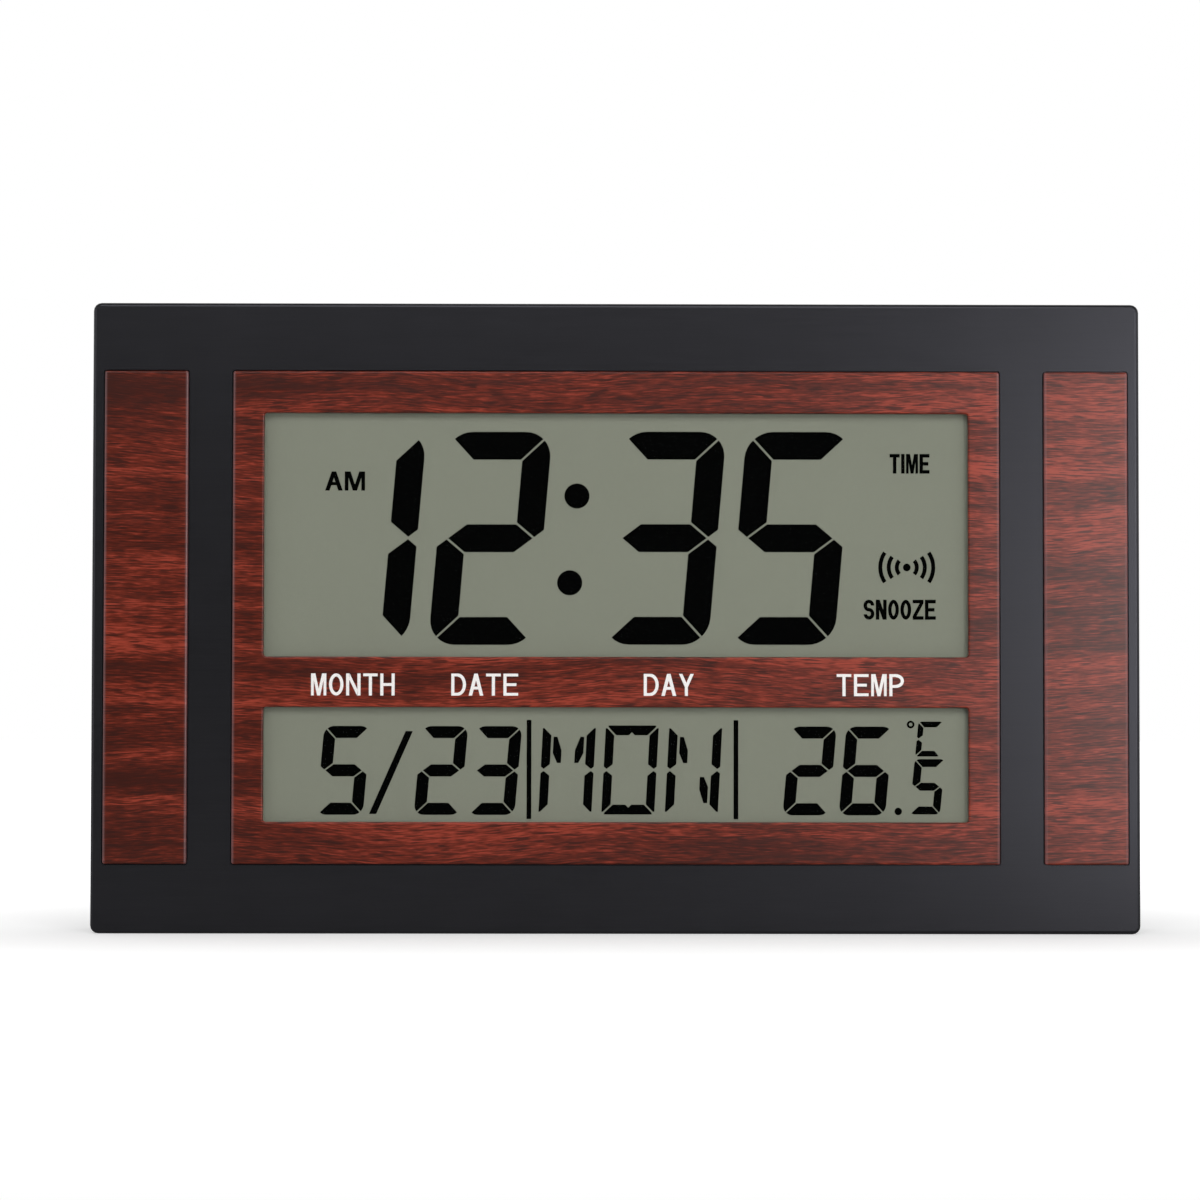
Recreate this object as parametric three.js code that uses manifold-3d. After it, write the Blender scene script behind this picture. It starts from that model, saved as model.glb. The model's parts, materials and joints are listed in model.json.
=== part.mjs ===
// Digital wall and table clock. A black moulded case carries three wood-grain panels and a large
// reflective liquid-crystal display. The back has a battery box with a snap-in door, a fold-out leg,
// a keyhole for a wall screw and a row of five sunken keys.
//
// Millimetres. The pieces are drawn in the face frame: x to the right, y up from the foot of the case
// and z towards the viewer. The last group stands that frame upright, so that +Z is up and the display
// looks along -Y. The origin is under the middle of the case, on the surface that it stands on.

import * as THREE from 'three';
import { mergeVertices } from 'three/addons/utils/BufferGeometryUtils.js';
import Module from 'manifold-3d';

const wasm = await Module();
wasm.setup();

// Front: windows, wood-grain panels and the black bands round them
const windowWidth = 174.7;
const timeWindowHeight = 60.5;
const calendarWindowHeight = 28.4;
const windowCorner = 0.8;
const bezelSide = 7.75;
const bezelTop = 10.4;
const bezelMiddle = 12.5;
const bezelBottom = 10.4;
const stripWidth = 20.75;
const stripMargin = 3.05;
const columnWidth = 11.1;
const railTop = 17;
const railBottom = 17.2;
const panelThick = 1.5;
const panelProud = 0.8;
const panelRound = 0.4;
const panelCorner = 0.5;
const panelGap = 0.3;
const pegDiameter = 2.4;
const pegSpacing = 82;
const stripPegSpacing = 44;

// Case shells
const caseCorner = 2;
const edgeRound = 0.8;
const frontWall = 2.1;
const sideWall = 2.2;
const frontCaseDepth = 16;
const coverInset = 0.5;
const coverRoundShare = 0.8;
const rearWall = 2.2;
const lipWall = 1.6;
const lipHeight = 3.5;
const lipRoot = 2;
const innerCorner = 0.6;
const footWidth = 16;
const footSpacing = 180;

// Display stack
const lensThick = 0.8;
const lensBorder = 2.6;
const polariserThick = 0.3;
const polariserBorder = 1.8;
const glassThick = 1.1;
const glassBorder = 4.5;
const contactLedge = 5;
const reflectorThick = 0.3;
const retainerThick = 2.3;
const retainerBar = 8;
const fenceWall = 1.2;
const fenceHeight = 2.6;
const earWidth = 9;
const earInset = 6;

// Circuit board and what is soldered to it
const boardThick = 1.6;
const boardHeight = 42;
const boardStandoff = 1.6;
const boardMargin = 2;
const boardScrewInset = 5;
const zebraThick = 2.6;
const zebraCorner = 0.6;
const zebraEndGap = 13;
const switchSize = 6;
const switchHeight = 3.5;
const switchCorner = 0.6;
const plungerDiameter = 3.4;
const plungerReach = 1.5;
const plungerDepth = 1.4;
const chipDiameter = 13;
const chipHeight = 1.8;
const chipX = 8;
const crystalDiameter = 3;
const crystalLength = 8;
const crystalEdge = 0.3;
const crystalX = 24;
const capacitorDiameter = 5;
const capacitorHeight = 8;
const capacitorCrimp = 0.3;
const capacitorX = 33;
const buzzerDiameter = 22;
const buzzerHeight = 6;
const buzzerHole = 3;
const buzzerEdge = 0.7;
const buzzerX = 50;
const beadDiameter = 2.4;
const beadStem = 7;
const beadWire = 0.6;

// Keys on the back
const keyNames = ['mode', 'set', 'up', 'down', 'snooze'];
const keyPitch = 13;
const keyRowDrop = 25;
const keyWidth = 8;
const keyHeight = 5;
const keyCorner = 1.6;
const keyRound = 0.5;
const keyProud = 1.8;
const keyFlange = 1.2;
const keyFlangeThick = 1;
const keyStemDiameter = 3;
const keyTravel = 0.5;
const trayDepth = 2.6;
const trayFloor = 1.8;
const trayBorder = 4;
const trayGap = 2.1;

// Batteries, their box, contacts and door
const cellDiameter = 14.5;
const cellLength = 50.5;
const cellNub = 5.5;
const cellNubHeight = 1.2;
const cellEdge = 0.7;
const cellGap = 0.5;
const boxWall = 1.6;
const boxFloor = 1.2;
const boxChannel = 8;
const boxBottom = 37;
const contactThick = 0.5;
const contactWidth = 9;
const contactNub = 0.3;
const tabWidth = 3;
const tabReach = 2.5;
const springLength = 5;
const springBase = 8.4;
const springTip = 5.6;
const springWire = 0.8;
const springTurns = 3.5;
const doorThick = 1.8;
const doorSunk = 0.2;
const doorLedge = 1.5;
const doorCorner = 1.5;
const hookWidth = 8;
const hookReach = 2.2;
const hookThick = 1.2;
const hookDrop = 1.5;
const latchWidth = 14;
const latchSlot = 1;
const latchLength = 7;
const latchGrip = 0.7;
const leadDiameter = 1.3;
const leadBend = 1.5;
const leadSpread = 5;
const padInset = 6.5;

// Fold-out leg and its pocket
const legWidth = 50;
const legLength = 76;
const legToe = 4;
const legThick = 4;
const legSkin = 1.6;
const legRib = 1.6;
const legRibX = 8.3;
const legCorner = 6;
const legBarrel = 4.4;
const legPinDiameter = 3.6;
const legPinLength = 2.6;
const pocketWall = 1.8;
const pocketGap = 0.5;
const scoopRadius = 9;
const scoopHeight = 13;

// Keyhole for a wall screw
const keyholeHead = 9;
const keyholeSlot = 4.6;
const keyholeRise = 9;
const keyholeDepth = 7.5;
const keyholeWall = 1.4;
const keyholeBorder = 2;
const keyholeDrop = 32;

// Sound and air slots in the rear cover
const slotWidth = 1.8;
const slotLength = 14;
const slotPitch = 4;
const soundSlots = 5;
const airSlots = 3;

// Screws and the bosses that take them
const caseShank = 2.8;
const caseHead = 5.6;
const caseHeadHeight = 2;
const caseBite = 7.8;
const caseBoss = 6.5;
const smallShank = 2.2;
const smallHead = 4.4;
const smallHeadHeight = 1.6;
const smallBoss = 5.4;
const retainerBite = 2.6;
const boardBite = 1;
const wellGap = 0.5;
const wellDepth = 6.5;
const wellWeb = 2.2;
const wellWall = 1.2;
const bossClearance = 1;
const crossWidth = 0.9;
const crossDepth = 0.9;
const crossEdge = 1.1;

// Clearances
const fitGap = 0.3;
const layerGap = 0.1;
const stackGap = 0.5;
const pilotGap = 0.25;
const cutOver = 1;
const fuse = 0.4;

// How many flats stand for a round: fine ones show, small ones are screws, pegs and bores
const fineCorner = 2;
const fineSides = 20;
const wideSides = 16;
const plainSides = 12;
const smallSides = 8;
const wireSegments = 3;

// Sizes that follow from the driving dimensions
const windowSpan = timeWindowHeight + bezelMiddle + calendarWindowHeight;
const bezelWidth = windowWidth + 2 * bezelSide;
const panelHeight = bezelBottom + windowSpan + bezelTop;
const caseWidth = bezelWidth + 2 * (columnWidth + stripWidth + stripMargin);
const caseHeight = railBottom + panelHeight + railTop;
const panelMidY = railBottom + panelHeight / 2;
const windowsBottom = railBottom + bezelBottom;
const windowsTop = windowsBottom + windowSpan;
const windowsMidY = (windowsBottom + windowsTop) / 2;
const stripX = caseWidth / 2 - stripMargin - stripWidth / 2;
const coverWall = sideWall + fitGap + lipWall / 2 - coverInset;
const coverRound = coverRoundShare * (caseCorner - coverInset);
const bossInset = sideWall + fitGap + lipWall + bossClearance + caseBoss / 2;
const lensWidth = windowWidth + 2 * lensBorder;
const lensHeight = windowSpan + 2 * lensBorder;
const glassWidth = windowWidth + 2 * glassBorder;
const rearGlassHeight = windowSpan + 2 * glassBorder;
const frontGlassHeight = rearGlassHeight + contactLedge;
const glassBottom = windowsBottom - glassBorder;
const glassTop = glassBottom + frontGlassHeight;

// Depths of the layers, counted back from the front of the panels
const ledgeDepth = panelThick + layerGap;
const innerDepth = panelProud + frontWall;
const polariserDepth = ledgeDepth + lensThick + layerGap;
const frontGlassDepth = Math.max(innerDepth, polariserDepth + polariserThick) + layerGap;
const rearGlassDepth = frontGlassDepth + glassThick + layerGap;
const reflectorDepth = rearGlassDepth + glassThick + layerGap;
const retainerDepth = reflectorDepth + reflectorThick + layerGap;
const boardDepth = retainerDepth + retainerThick + boardStandoff + layerGap;
const boxDepth = retainerDepth + retainerThick + stackGap;
const cellDepth = boxDepth + boxFloor + fitGap;
const doorDepth = cellDepth + cellDiameter + fitGap;
const caseDepth = doorDepth + doorThick + doorSunk;

// The same layers as heights in the face frame, whose zero is the middle of the depth
const zFront = caseDepth / 2;
const zBack = -caseDepth / 2;
const zFace = zFront - panelProud;
const zLedge = zFront - ledgeDepth;
const zInner = zFront - innerDepth;
const zPart = zFace - frontCaseDepth;
const zRetainer = zFront - retainerDepth;
const zRetainerBack = zRetainer - retainerThick;
const zBoard = zFront - boardDepth;
const zBoardBack = zBoard - boardThick;
const zBox = zFront - boxDepth;
const zCell = zFront - cellDepth - cellDiameter / 2;
const zWellSeat = zBack + wellDepth;
const zBossTop = zWellSeat + wellWeb + layerGap;
const zTray = zBack + trayDepth;

// Places on the back, in the face frame
const boardTop = glassTop + fitGap;
const boardBottom = boardTop - boardHeight;
const keyholePocketWidth = keyholeHead + 2 * keyholeBorder;
const keyholePocketHeight = keyholeHead + keyholeRise + 2 * keyholeBorder;
const keyRowLength = keyPitch * (keyNames.length - 1);
const trayWidth = keyRowLength + keyWidth + 2 * trayBorder;
const trayHeight = keyHeight + 2 * trayBorder;
const keyRowX = -(keyholePocketWidth / 2 + keyholeWall + trayGap + trayWidth / 2);
const boardWidth = 2 * (Math.abs(keyRowX) + (keyRowLength + switchSize) / 2 + boardMargin);
const keyRowY = boardTop - keyRowDrop;
const legPivotY = legToe + legLength;
const legPivotZ = zBack + legBarrel / 2 + pocketGap;
const pocketHalf = legWidth / 2 + pocketGap;
const pocketTop = legPivotY + legBarrel / 2 + pocketGap;
const pocketBottom = legToe - pocketGap;
const pocketDepth = legBarrel + 2 * pocketGap;
const boxLeft = pocketHalf + pocketWall + boxChannel + boxWall;
const boxLength = cellLength + springLength + contactNub + 2 * (fitGap + contactThick + fitGap);
const boxRight = boxLeft + boxLength;
const boxHeight = 2 * cellDiameter + 3 * cellGap;
const boxMidX = (boxLeft + boxRight) / 2;
const boxMidY = boxBottom + boxHeight / 2;
const lowerCellY = boxBottom + cellGap + cellDiameter / 2;
const upperCellY = lowerCellY + cellDiameter + cellGap;
const doorWidth = boxLength + 2 * doorLedge;
const doorHeight = boxHeight + 2 * doorLedge;
const doorBottom = boxBottom - doorLedge;
const zDoor = zBack + doorSunk;
const keyholeY = caseHeight - keyholeDrop;
const earX = glassWidth / 2 + fitGap + fenceWall + earInset;
const earY = [glassBottom + earWidth, glassTop - earWidth];
const caseScrewX = caseWidth / 2 - bossInset;
const caseScrewY = [bossInset, caseHeight / 2, caseHeight - bossInset];
const boardScrewX = boardWidth / 2 - boardScrewInset;
const boardScrewY = [boardBottom + boardScrewInset, boardTop - boardScrewInset];
const pointsAt = (x, ys) => [-x, x].flatMap((px) => ys.map((py) => [px, py]));
const caseScrewPoints = pointsAt(caseScrewX, caseScrewY);
const retainerScrewPoints = pointsAt(earX, earY);
const boardScrewPoints = pointsAt(boardScrewX, boardScrewY);
const keyPoints = keyNames.map((name, i) => [keyRowX + keyPitch * i - keyRowLength / 2, keyRowY]);

// Each screw's own sizes: its length is what it passes through and what it bites into
const smallScrew = { shank: smallShank, head: smallHead, headHeight: smallHeadHeight };
const caseScrew = {
  shank: caseShank,
  head: caseHead,
  headHeight: caseHeadHeight,
  length: wellWeb + layerGap + caseBite,
};
const retainerScrew = { ...smallScrew, length: retainerThick + layerGap + retainerBite };
const boardScrew = { ...smallScrew, length: boardThick + layerGap + boardStandoff + boardBite };

// Finishes
function finish(color, roughness, metalness = 0) {
  return new THREE.MeshStandardMaterial({ color, roughness, metalness });
}
const blackPlastic = finish(0x2b2b2f, 0.5);
const woodGrain = finish(0x6b2a20, 0.4);
const clearPlastic = finish(0xdfe5e2, 0.1);
const displayGrey = finish(0x7f8374, 0.6);
const glass = finish(0x9aa59c, 0.1);
const silver = finish(0xb9b9b4, 0.4, 0.6);
const greyPlastic = finish(0x4a4a4c, 0.6);
const elastomer = finish(0xa8687a, 0.7);
const boardGreen = finish(0x1f5a36, 0.5);
const epoxyBlack = finish(0x101012, 0.35);
const steel = finish(0xb8b8b8, 0.35, 0.9);
const brass = finish(0xb08d4a, 0.4, 0.8);
const keyGrey = finish(0x3b3b40, 0.55);
const cellJacket = finish(0x2f4a72, 0.4);
const redSheath = finish(0xa01e1e, 0.5);
const blackSheath = finish(0x151515, 0.5);

// Solids: a closed geometry becomes a body that can be joined and cut, and goes back to a mesh
function solid(geometry) {
  const bare = new THREE.BufferGeometry();
  bare.setAttribute('position', geometry.getAttribute('position'));
  bare.setIndex(geometry.getIndex());
  const welded = mergeVertices(bare);
  return new wasm.Manifold(
    new wasm.Mesh({
      numProp: 3,
      vertProperties: new Float32Array(welded.getAttribute('position').array),
      triVerts: new Uint32Array(welded.getIndex().array),
    }),
  );
}

function piece(name, body, material) {
  const { vertProperties, triVerts } = body.getMesh();
  const geometry = new THREE.BufferGeometry();
  geometry.setAttribute('position', new THREE.BufferAttribute(vertProperties, 3));
  geometry.setIndex(new THREE.BufferAttribute(triVerts, 1));
  geometry.computeVertexNormals();
  const mesh = new THREE.Mesh(geometry, material);
  mesh.name = name;
  return mesh;
}

function placed(mesh, x, y, z) {
  mesh.position.set(x, y, z);
  return mesh;
}

const joined = (bodies) => bodies.reduce((sum, body) => sum.add(body));

// Outlines and the solids drawn from them
function roundedRect(width, height, radius, x = 0, y = 0) {
  const right = width / 2 - radius;
  const up = height / 2 - radius;
  const shape = new THREE.Shape();
  shape.absarc(x + right, y + up, radius, 0, Math.PI / 2);
  shape.absarc(x - right, y + up, radius, Math.PI / 2, Math.PI);
  shape.absarc(x - right, y - up, radius, Math.PI, Math.PI * 1.5);
  shape.absarc(x + right, y - up, radius, Math.PI * 1.5, Math.PI * 2);
  return shape;
}

function prism(shape, zLow, zHigh, curveSegments = 1) {
  const depth = zHigh - zLow;
  const geometry = new THREE.ExtrudeGeometry(shape, { depth, bevelEnabled: false, curveSegments });
  return solid(geometry.translate(0, 0, zLow));
}

function block(xLow, xHigh, yLow, yHigh, zLow, zHigh) {
  const geometry = new THREE.BoxGeometry(xHigh - xLow, yHigh - yLow, zHigh - zLow);
  return solid(geometry.translate((xLow + xHigh) / 2, (yLow + yHigh) / 2, (zLow + zHigh) / 2));
}

function rod(diameter, zLow, zHigh, x = 0, y = 0, sides = plainSides) {
  const geometry = new THREE.CylinderGeometry(diameter / 2, diameter / 2, zHigh - zLow, sides);
  return solid(geometry.rotateX(Math.PI / 2).translate(x, y, (zLow + zHigh) / 2));
}

function crossRod(diameter, xLow, xHigh, y, z, sides = plainSides) {
  const geometry = new THREE.CylinderGeometry(diameter / 2, diameter / 2, xHigh - xLow, sides);
  return solid(geometry.rotateZ(Math.PI / 2).translate((xLow + xHigh) / 2, y, z));
}

// A prism whose edges are rounded at both ends, and two that are rounded only at the front or the back
function softPrism(shape, zLow, zHigh, round, curveSegments, bevelSegments) {
  const geometry = new THREE.ExtrudeGeometry(shape, {
    depth: zHigh - zLow - 2 * round,
    bevelThickness: round,
    bevelSize: round,
    bevelOffset: -round,
    bevelSegments,
    curveSegments,
  });
  return solid(geometry.translate(0, 0, zLow + round));
}

const roundSteps = 3;
function slab(zLow, zHigh) {
  const reach = caseWidth + caseHeight;
  return block(-reach, reach, -reach, reach, zLow, zHigh);
}

function frontRounded(shape, zLow, zHigh, round) {
  const whole = softPrism(shape, zLow - 2 * round, zHigh, round, fineCorner, roundSteps);
  return whole.subtract(slab(zLow - 3 * round, zLow));
}

function backRounded(shape, zLow, zHigh, round) {
  const whole = softPrism(shape, zLow, zHigh + 2 * round, round, fineCorner, roundSteps);
  return whole.subtract(slab(zHigh, zHigh + 3 * round));
}

// A profile of [radius, height] points turned about the y axis
function lathe(points, sides = plainSides) {
  return new THREE.LatheGeometry(points.map(([r, h]) => new THREE.Vector2(r, h)), sides);
}

const caseOutline = (inset) =>
  roundedRect(
    caseWidth - 2 * inset,
    caseHeight - 2 * inset,
    Math.max(caseCorner - inset, innerCorner),
    0,
    caseHeight / 2,
  );
const lensOutline = (grow) =>
  roundedRect(lensWidth + 2 * grow, lensHeight + 2 * grow, windowCorner + grow, 0, windowsMidY);
const bezelOutline = (grow) =>
  roundedRect(bezelWidth + 2 * grow, panelHeight + 2 * grow, panelCorner + grow, 0, panelMidY);
const stripOutline = (grow, x = 0) =>
  roundedRect(stripWidth + 2 * grow, panelHeight + 2 * grow, panelCorner + grow, x, panelMidY);

// Locating pegs on the back of each panel, and the same points as holes in the front wall
const bezelPegY = (bezelTop - lensBorder - fitGap) / 2;
const bezelPegPoints = [-pegSpacing, 0, pegSpacing].flatMap((x) => [
  [x, railBottom + bezelPegY],
  [x, railBottom + panelHeight - bezelPegY],
]);
const stripPegPoints = [-stripPegSpacing, stripPegSpacing].map((y) => [0, panelMidY + y]);
const peg = ([x, y]) =>
  rod(pegDiameter, zInner + layerGap, zFront - panelThick + fuse, x, y, smallSides);
const pegs = (points) => joined(points.map(peg));

function frontCase() {
  const posts = [
    ...caseScrewPoints.map(([x, y]) => rod(caseBoss, zBossTop, zInner + fuse, x, y)),
    ...retainerScrewPoints.map(([x, y]) => rod(smallBoss, zRetainer + layerGap, zInner + fuse, x, y)),
  ];
  const pegHoles = [
    ...bezelPegPoints,
    ...stripPegPoints.map(([x, y]) => [x - stripX, y]),
    ...stripPegPoints.map(([x, y]) => [x + stripX, y]),
  ].map(([x, y]) => rod(pegDiameter + 2 * fitGap, zInner - cutOver, zLedge + cutOver, x, y, smallSides));
  const pilots = [
    ...caseScrewPoints.map(([x, y]) => pilot(caseScrew, zWellSeat, x, y)),
    ...retainerScrewPoints.map(([x, y]) => pilot(retainerScrew, zRetainerBack, x, y)),
  ];
  const recesses = [
    bezelOutline(panelGap),
    stripOutline(panelGap, -stripX),
    stripOutline(panelGap, stripX),
  ].map((outline) => prism(outline, zLedge, zFace + cutOver, fineCorner));
  return frontRounded(caseOutline(0), zPart, zFace, edgeRound)
    .subtract(prism(caseOutline(sideWall), zPart - cutOver, zInner))
    .add(joined(posts))
    .add(displayFence())
    .subtract(joined(recesses))
    .subtract(prism(lensOutline(fitGap), zInner - cutOver, zLedge + cutOver))
    .subtract(joined([...pegHoles, ...pilots]));
}

// A low wall on the inside of the front that keeps the display from shifting
function displayFence() {
  const midY = glassBottom + frontGlassHeight / 2;
  const outline = (grow) =>
    roundedRect(glassWidth + 2 * grow, frontGlassHeight + 2 * grow, fenceWall, 0, midY);
  const low = zInner - fenceHeight;
  const ring = prism(outline(fitGap + fenceWall), low, zInner + fuse);
  return ring.subtract(prism(outline(fitGap), low - cutOver, zInner + cutOver));
}

// The hole that a screw cuts its thread in, a little longer than the screw
function pilot(screw, zSeat, x, y) {
  return rod(screw.shank + 2 * pilotGap, zSeat, zSeat + screw.length + fitGap, x, y, smallSides);
}

function woodBezel() {
  const shape = bezelOutline(0);
  const timeY = windowsTop - timeWindowHeight / 2;
  const calendarY = windowsBottom + calendarWindowHeight / 2;
  shape.holes.push(roundedRect(windowWidth, timeWindowHeight, windowCorner, 0, timeY));
  shape.holes.push(roundedRect(windowWidth, calendarWindowHeight, windowCorner, 0, calendarY));
  return frontRounded(shape, zFront - panelThick, zFront, panelRound).add(pegs(bezelPegPoints));
}

function woodStrip() {
  return frontRounded(stripOutline(0), zFront - panelThick, zFront, panelRound).add(pegs(stripPegPoints));
}

// Display: a clear lens, a polarising film, two sheets of glass and a reflecting film
function sheet(width, height, bottom, depth, thick) {
  const outline = roundedRect(width, height, innerCorner, 0, bottom + height / 2);
  return prism(outline, zFront - depth - thick, zFront - depth);
}

const displayLens = () => prism(lensOutline(0), zLedge - lensThick, zLedge);

function polariser() {
  const width = windowWidth + 2 * polariserBorder;
  const height = windowSpan + 2 * polariserBorder;
  return sheet(width, height, windowsBottom - polariserBorder, polariserDepth, polariserThick);
}

const frontGlass = () => sheet(glassWidth, frontGlassHeight, glassBottom, frontGlassDepth, glassThick);
const rearGlass = () => sheet(glassWidth, rearGlassHeight, glassBottom, rearGlassDepth, glassThick);
function reflector() {
  const width = windowWidth + 2 * polariserBorder;
  const height = windowSpan + 2 * polariserBorder;
  return sheet(width, height, windowsBottom - polariserBorder, reflectorDepth, reflectorThick);
}

// The conducting rubber strip that joins the ledge of the front glass to the board
const zebraY = glassTop - contactLedge / 2;
const zebraLength = boardWidth - 2 * zebraEndGap;
const zebraStrip = () =>
  prism(
    roundedRect(zebraLength, zebraThick, zebraCorner, 0, zebraY),
    zBoard + layerGap,
    zFront - frontGlassDepth - glassThick - layerGap,
  );

// An open frame behind the display, with ears for its own screws and pads for the board
function retainerOutline() {
  const half = glassWidth / 2;
  const reach = earX + earWidth / 2;
  const ears = earY.flatMap((y) => [
    [half, y - earWidth / 2],
    [reach, y - earWidth / 2],
    [reach, y + earWidth / 2],
    [half, y + earWidth / 2],
  ]);
  const rightSide = [[half, glassBottom], ...ears, [half, glassTop]];
  const leftSide = rightSide.map(([x, y]) => [-x, y]).reverse();
  return new THREE.Shape([...rightSide, ...leftSide].map(([x, y]) => new THREE.Vector2(x, y)));
}

function roundHole(diameter, x, y) {
  const r = diameter / 2;
  const corners = Array.from({ length: smallSides }, (_, i) => {
    const angle = (2 * Math.PI * i) / smallSides;
    return new THREE.Vector2(x + r * Math.cos(angle), y + r * Math.sin(angle));
  });
  return new THREE.Path(corners);
}

function displayRetainer() {
  const barY = boardBottom + boardScrewInset;
  const openWidth = glassWidth - 2 * retainerBar;
  const opening = (low, high) => roundedRect(openWidth, high - low, panelCorner, 0, (low + high) / 2);
  const frame = retainerOutline();
  frame.holes.push(opening(glassBottom + retainerBar, barY - retainerBar / 2));
  frame.holes.push(opening(barY + retainerBar / 2, glassTop - retainerBar));
  frame.holes.push(roundedRect(zebraLength + 2 * fitGap, zebraThick + 2 * fitGap, zebraCorner, 0, zebraY));
  frame.holes.push(...retainerScrewPoints.map(([x, y]) => roundHole(smallShank + 2 * fitGap, x, y)));
  const zPad = zBoard + layerGap;
  const pads = boardScrewPoints.map(([x, y]) => rod(smallBoss, zPad, zRetainerBack + fuse, x, y));
  const pilots = boardScrewPoints.map(([x, y]) => pilot(boardScrew, zBoardBack, x, y));
  return joined([prism(frame, zRetainerBack, zRetainer), ...pads]).subtract(joined(pilots));
}

function circuitBoard() {
  const outline = roundedRect(boardWidth, boardHeight, panelCorner, 0, (boardTop + boardBottom) / 2);
  outline.holes.push(...boardScrewPoints.map(([x, y]) => roundHole(smallShank + 2 * fitGap, x, y)));
  return prism(outline, zBoardBack, zBoard);
}

// Components stand on the back of the board: height zero is the board and heights count backwards
const onBoard = (points, sides) => solid(lathe(points, sides).rotateX(-Math.PI / 2));

function clockChip() {
  const rim = chipDiameter / 2;
  const domeSteps = 5;
  const dome = new THREE.EllipseCurve(0, 0, rim, chipHeight, 0, Math.PI / 2).getPoints(domeSteps);
  return onBoard([[0, 0], ...dome.slice(0, -1).map((p) => [p.x, p.y]), [0, chipHeight]]);
}

function quartzCrystal() {
  const r = crystalDiameter / 2;
  const rim = r - crystalEdge;
  const can = lathe([[0, 0], [rim, 0], [r, crystalEdge], [r, crystalLength], [0, crystalLength]]);
  return solid(can.translate(0, -crystalLength / 2, -r));
}

function capacitor() {
  const r = capacitorDiameter / 2;
  const waist = r - capacitorCrimp;
  const low = [[0, 0], [r, 0], [r, 4 * capacitorCrimp], [waist, 5 * capacitorCrimp], [r, 6 * capacitorCrimp]];
  const high = [[r, capacitorHeight - capacitorCrimp], [waist, capacitorHeight], [0, capacitorHeight]];
  return onBoard([...low, ...high]);
}

function buzzer() {
  const r = buzzerDiameter / 2;
  const hole = buzzerHole / 2;
  const floor = buzzerHeight - 2 * buzzerEdge;
  const shell = [[0, 0], [r, 0], [r, buzzerHeight - buzzerEdge], [r - buzzerEdge, buzzerHeight]];
  return onBoard([...shell, [hole, buzzerHeight], [hole, floor], [0, floor]], wideSides);
}

// A temperature bead on two short wires
function thermistor() {
  const bead = new THREE.SphereGeometry(beadDiameter / 2, plainSides, smallSides).translate(0, 0, -beadStem);
  const wireX = beadDiameter / 4;
  const wires = [-wireX, wireX].map((x) => rod(beadWire, -beadStem, 0, x, 0, smallSides));
  return joined([solid(bead), ...wires]);
}

function switchBody() {
  const shape = roundedRect(switchSize, switchSize, switchCorner);
  const floor = plungerDepth + keyTravel + fitGap - switchHeight;
  const hole = rod(plungerDiameter + 2 * fitGap, -switchHeight - cutOver, floor);
  return prism(shape, -switchHeight, 0).subtract(hole);
}

function plunger() {
  return rod(plungerDiameter, -switchHeight - plungerReach, plungerDepth - switchHeight);
}

// A key: a soft-edged cap, a flange that holds it in the tray and a stem that reaches its switch
const zFlange = zTray + trayFloor + layerGap;
const zPlungerTop = zBoardBack - layerGap - switchHeight - plungerReach;
function key() {
  const outline = roundedRect(keyWidth, keyHeight, keyCorner);
  const cap = softPrism(outline, zTray - keyProud, zFlange + fuse, keyRound, 1, 2);
  const flange = roundedRect(keyWidth + 2 * keyFlange, keyHeight + 2 * keyFlange, keyCorner);
  const stem = rod(keyStemDiameter, zFlange, zPlungerTop - layerGap);
  return joined([cap, prism(flange, zFlange, zFlange + keyFlangeThick), stem]);
}

// A pan-head screw with a crossed slot, driven towards the front: z zero is the seat of its head
function screwBody({ shank, head, headHeight, length }) {
  const r = shank / 2;
  const rim = head / 2;
  const dome = headHeight / 2;
  const top = [[0, -headHeight], [rim - dome, -headHeight], [rim, dome - headHeight], [rim, 0]];
  const point = [[r, 0], [r, length - r], [r / 2, length], [0, length]];
  const reach = rim - crossEdge;
  const half = crossWidth / 2;
  const floor = crossDepth - headHeight;
  const slots = [
    block(-reach, reach, -half, half, -headHeight - cutOver, floor),
    block(-half, half, -reach, reach, -headHeight - cutOver, floor),
  ];
  const body = lathe([...top, ...point], smallSides).rotateX(Math.PI / 2);
  return solid(body).subtract(joined(slots));
}

// Battery cells lie along x; a cell's own origin is the middle of its flat end
function cell() {
  const r = cellDiameter / 2;
  const nub = cellNub / 2;
  const shoulder = cellLength - cellNubHeight;
  const bottom = [[0, 0], [r - cellEdge, 0], [r, cellEdge]];
  const top = [[r, shoulder - cellEdge], [r - cellEdge, shoulder], [nub, shoulder]];
  const body = lathe([...bottom, ...top, [nub, cellLength], [0, cellLength]], fineSides);
  return solid(body.rotateZ(-Math.PI / 2));
}

// The line that a conical contact spring follows
class ConeHelix extends THREE.Curve {
  getPoint(t, target = new THREE.Vector3()) {
    const angle = 2 * Math.PI * springTurns * t;
    const radius = THREE.MathUtils.lerp(springBase, springTip, t) / 2 - springWire / 2;
    return target.set((springLength - springWire) * t, radius * Math.cos(angle), radius * Math.sin(angle));
  }
}

const springStepsPerTurn = 8;
function contactSpring(y = 0) {
  const steps = Math.ceil(springTurns * springStepsPerTurn);
  const wire = new THREE.Shape().absarc(0, 0, springWire / 2, 0, Math.PI * 2);
  const geometry = new THREE.ExtrudeGeometry(wire, {
    steps,
    extrudePath: new ConeHelix(),
    bevelEnabled: false,
    curveSegments: wireSegments,
  });
  return solid(geometry.translate(springWire / 2 - fuse / 2, y, 0));
}

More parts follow.
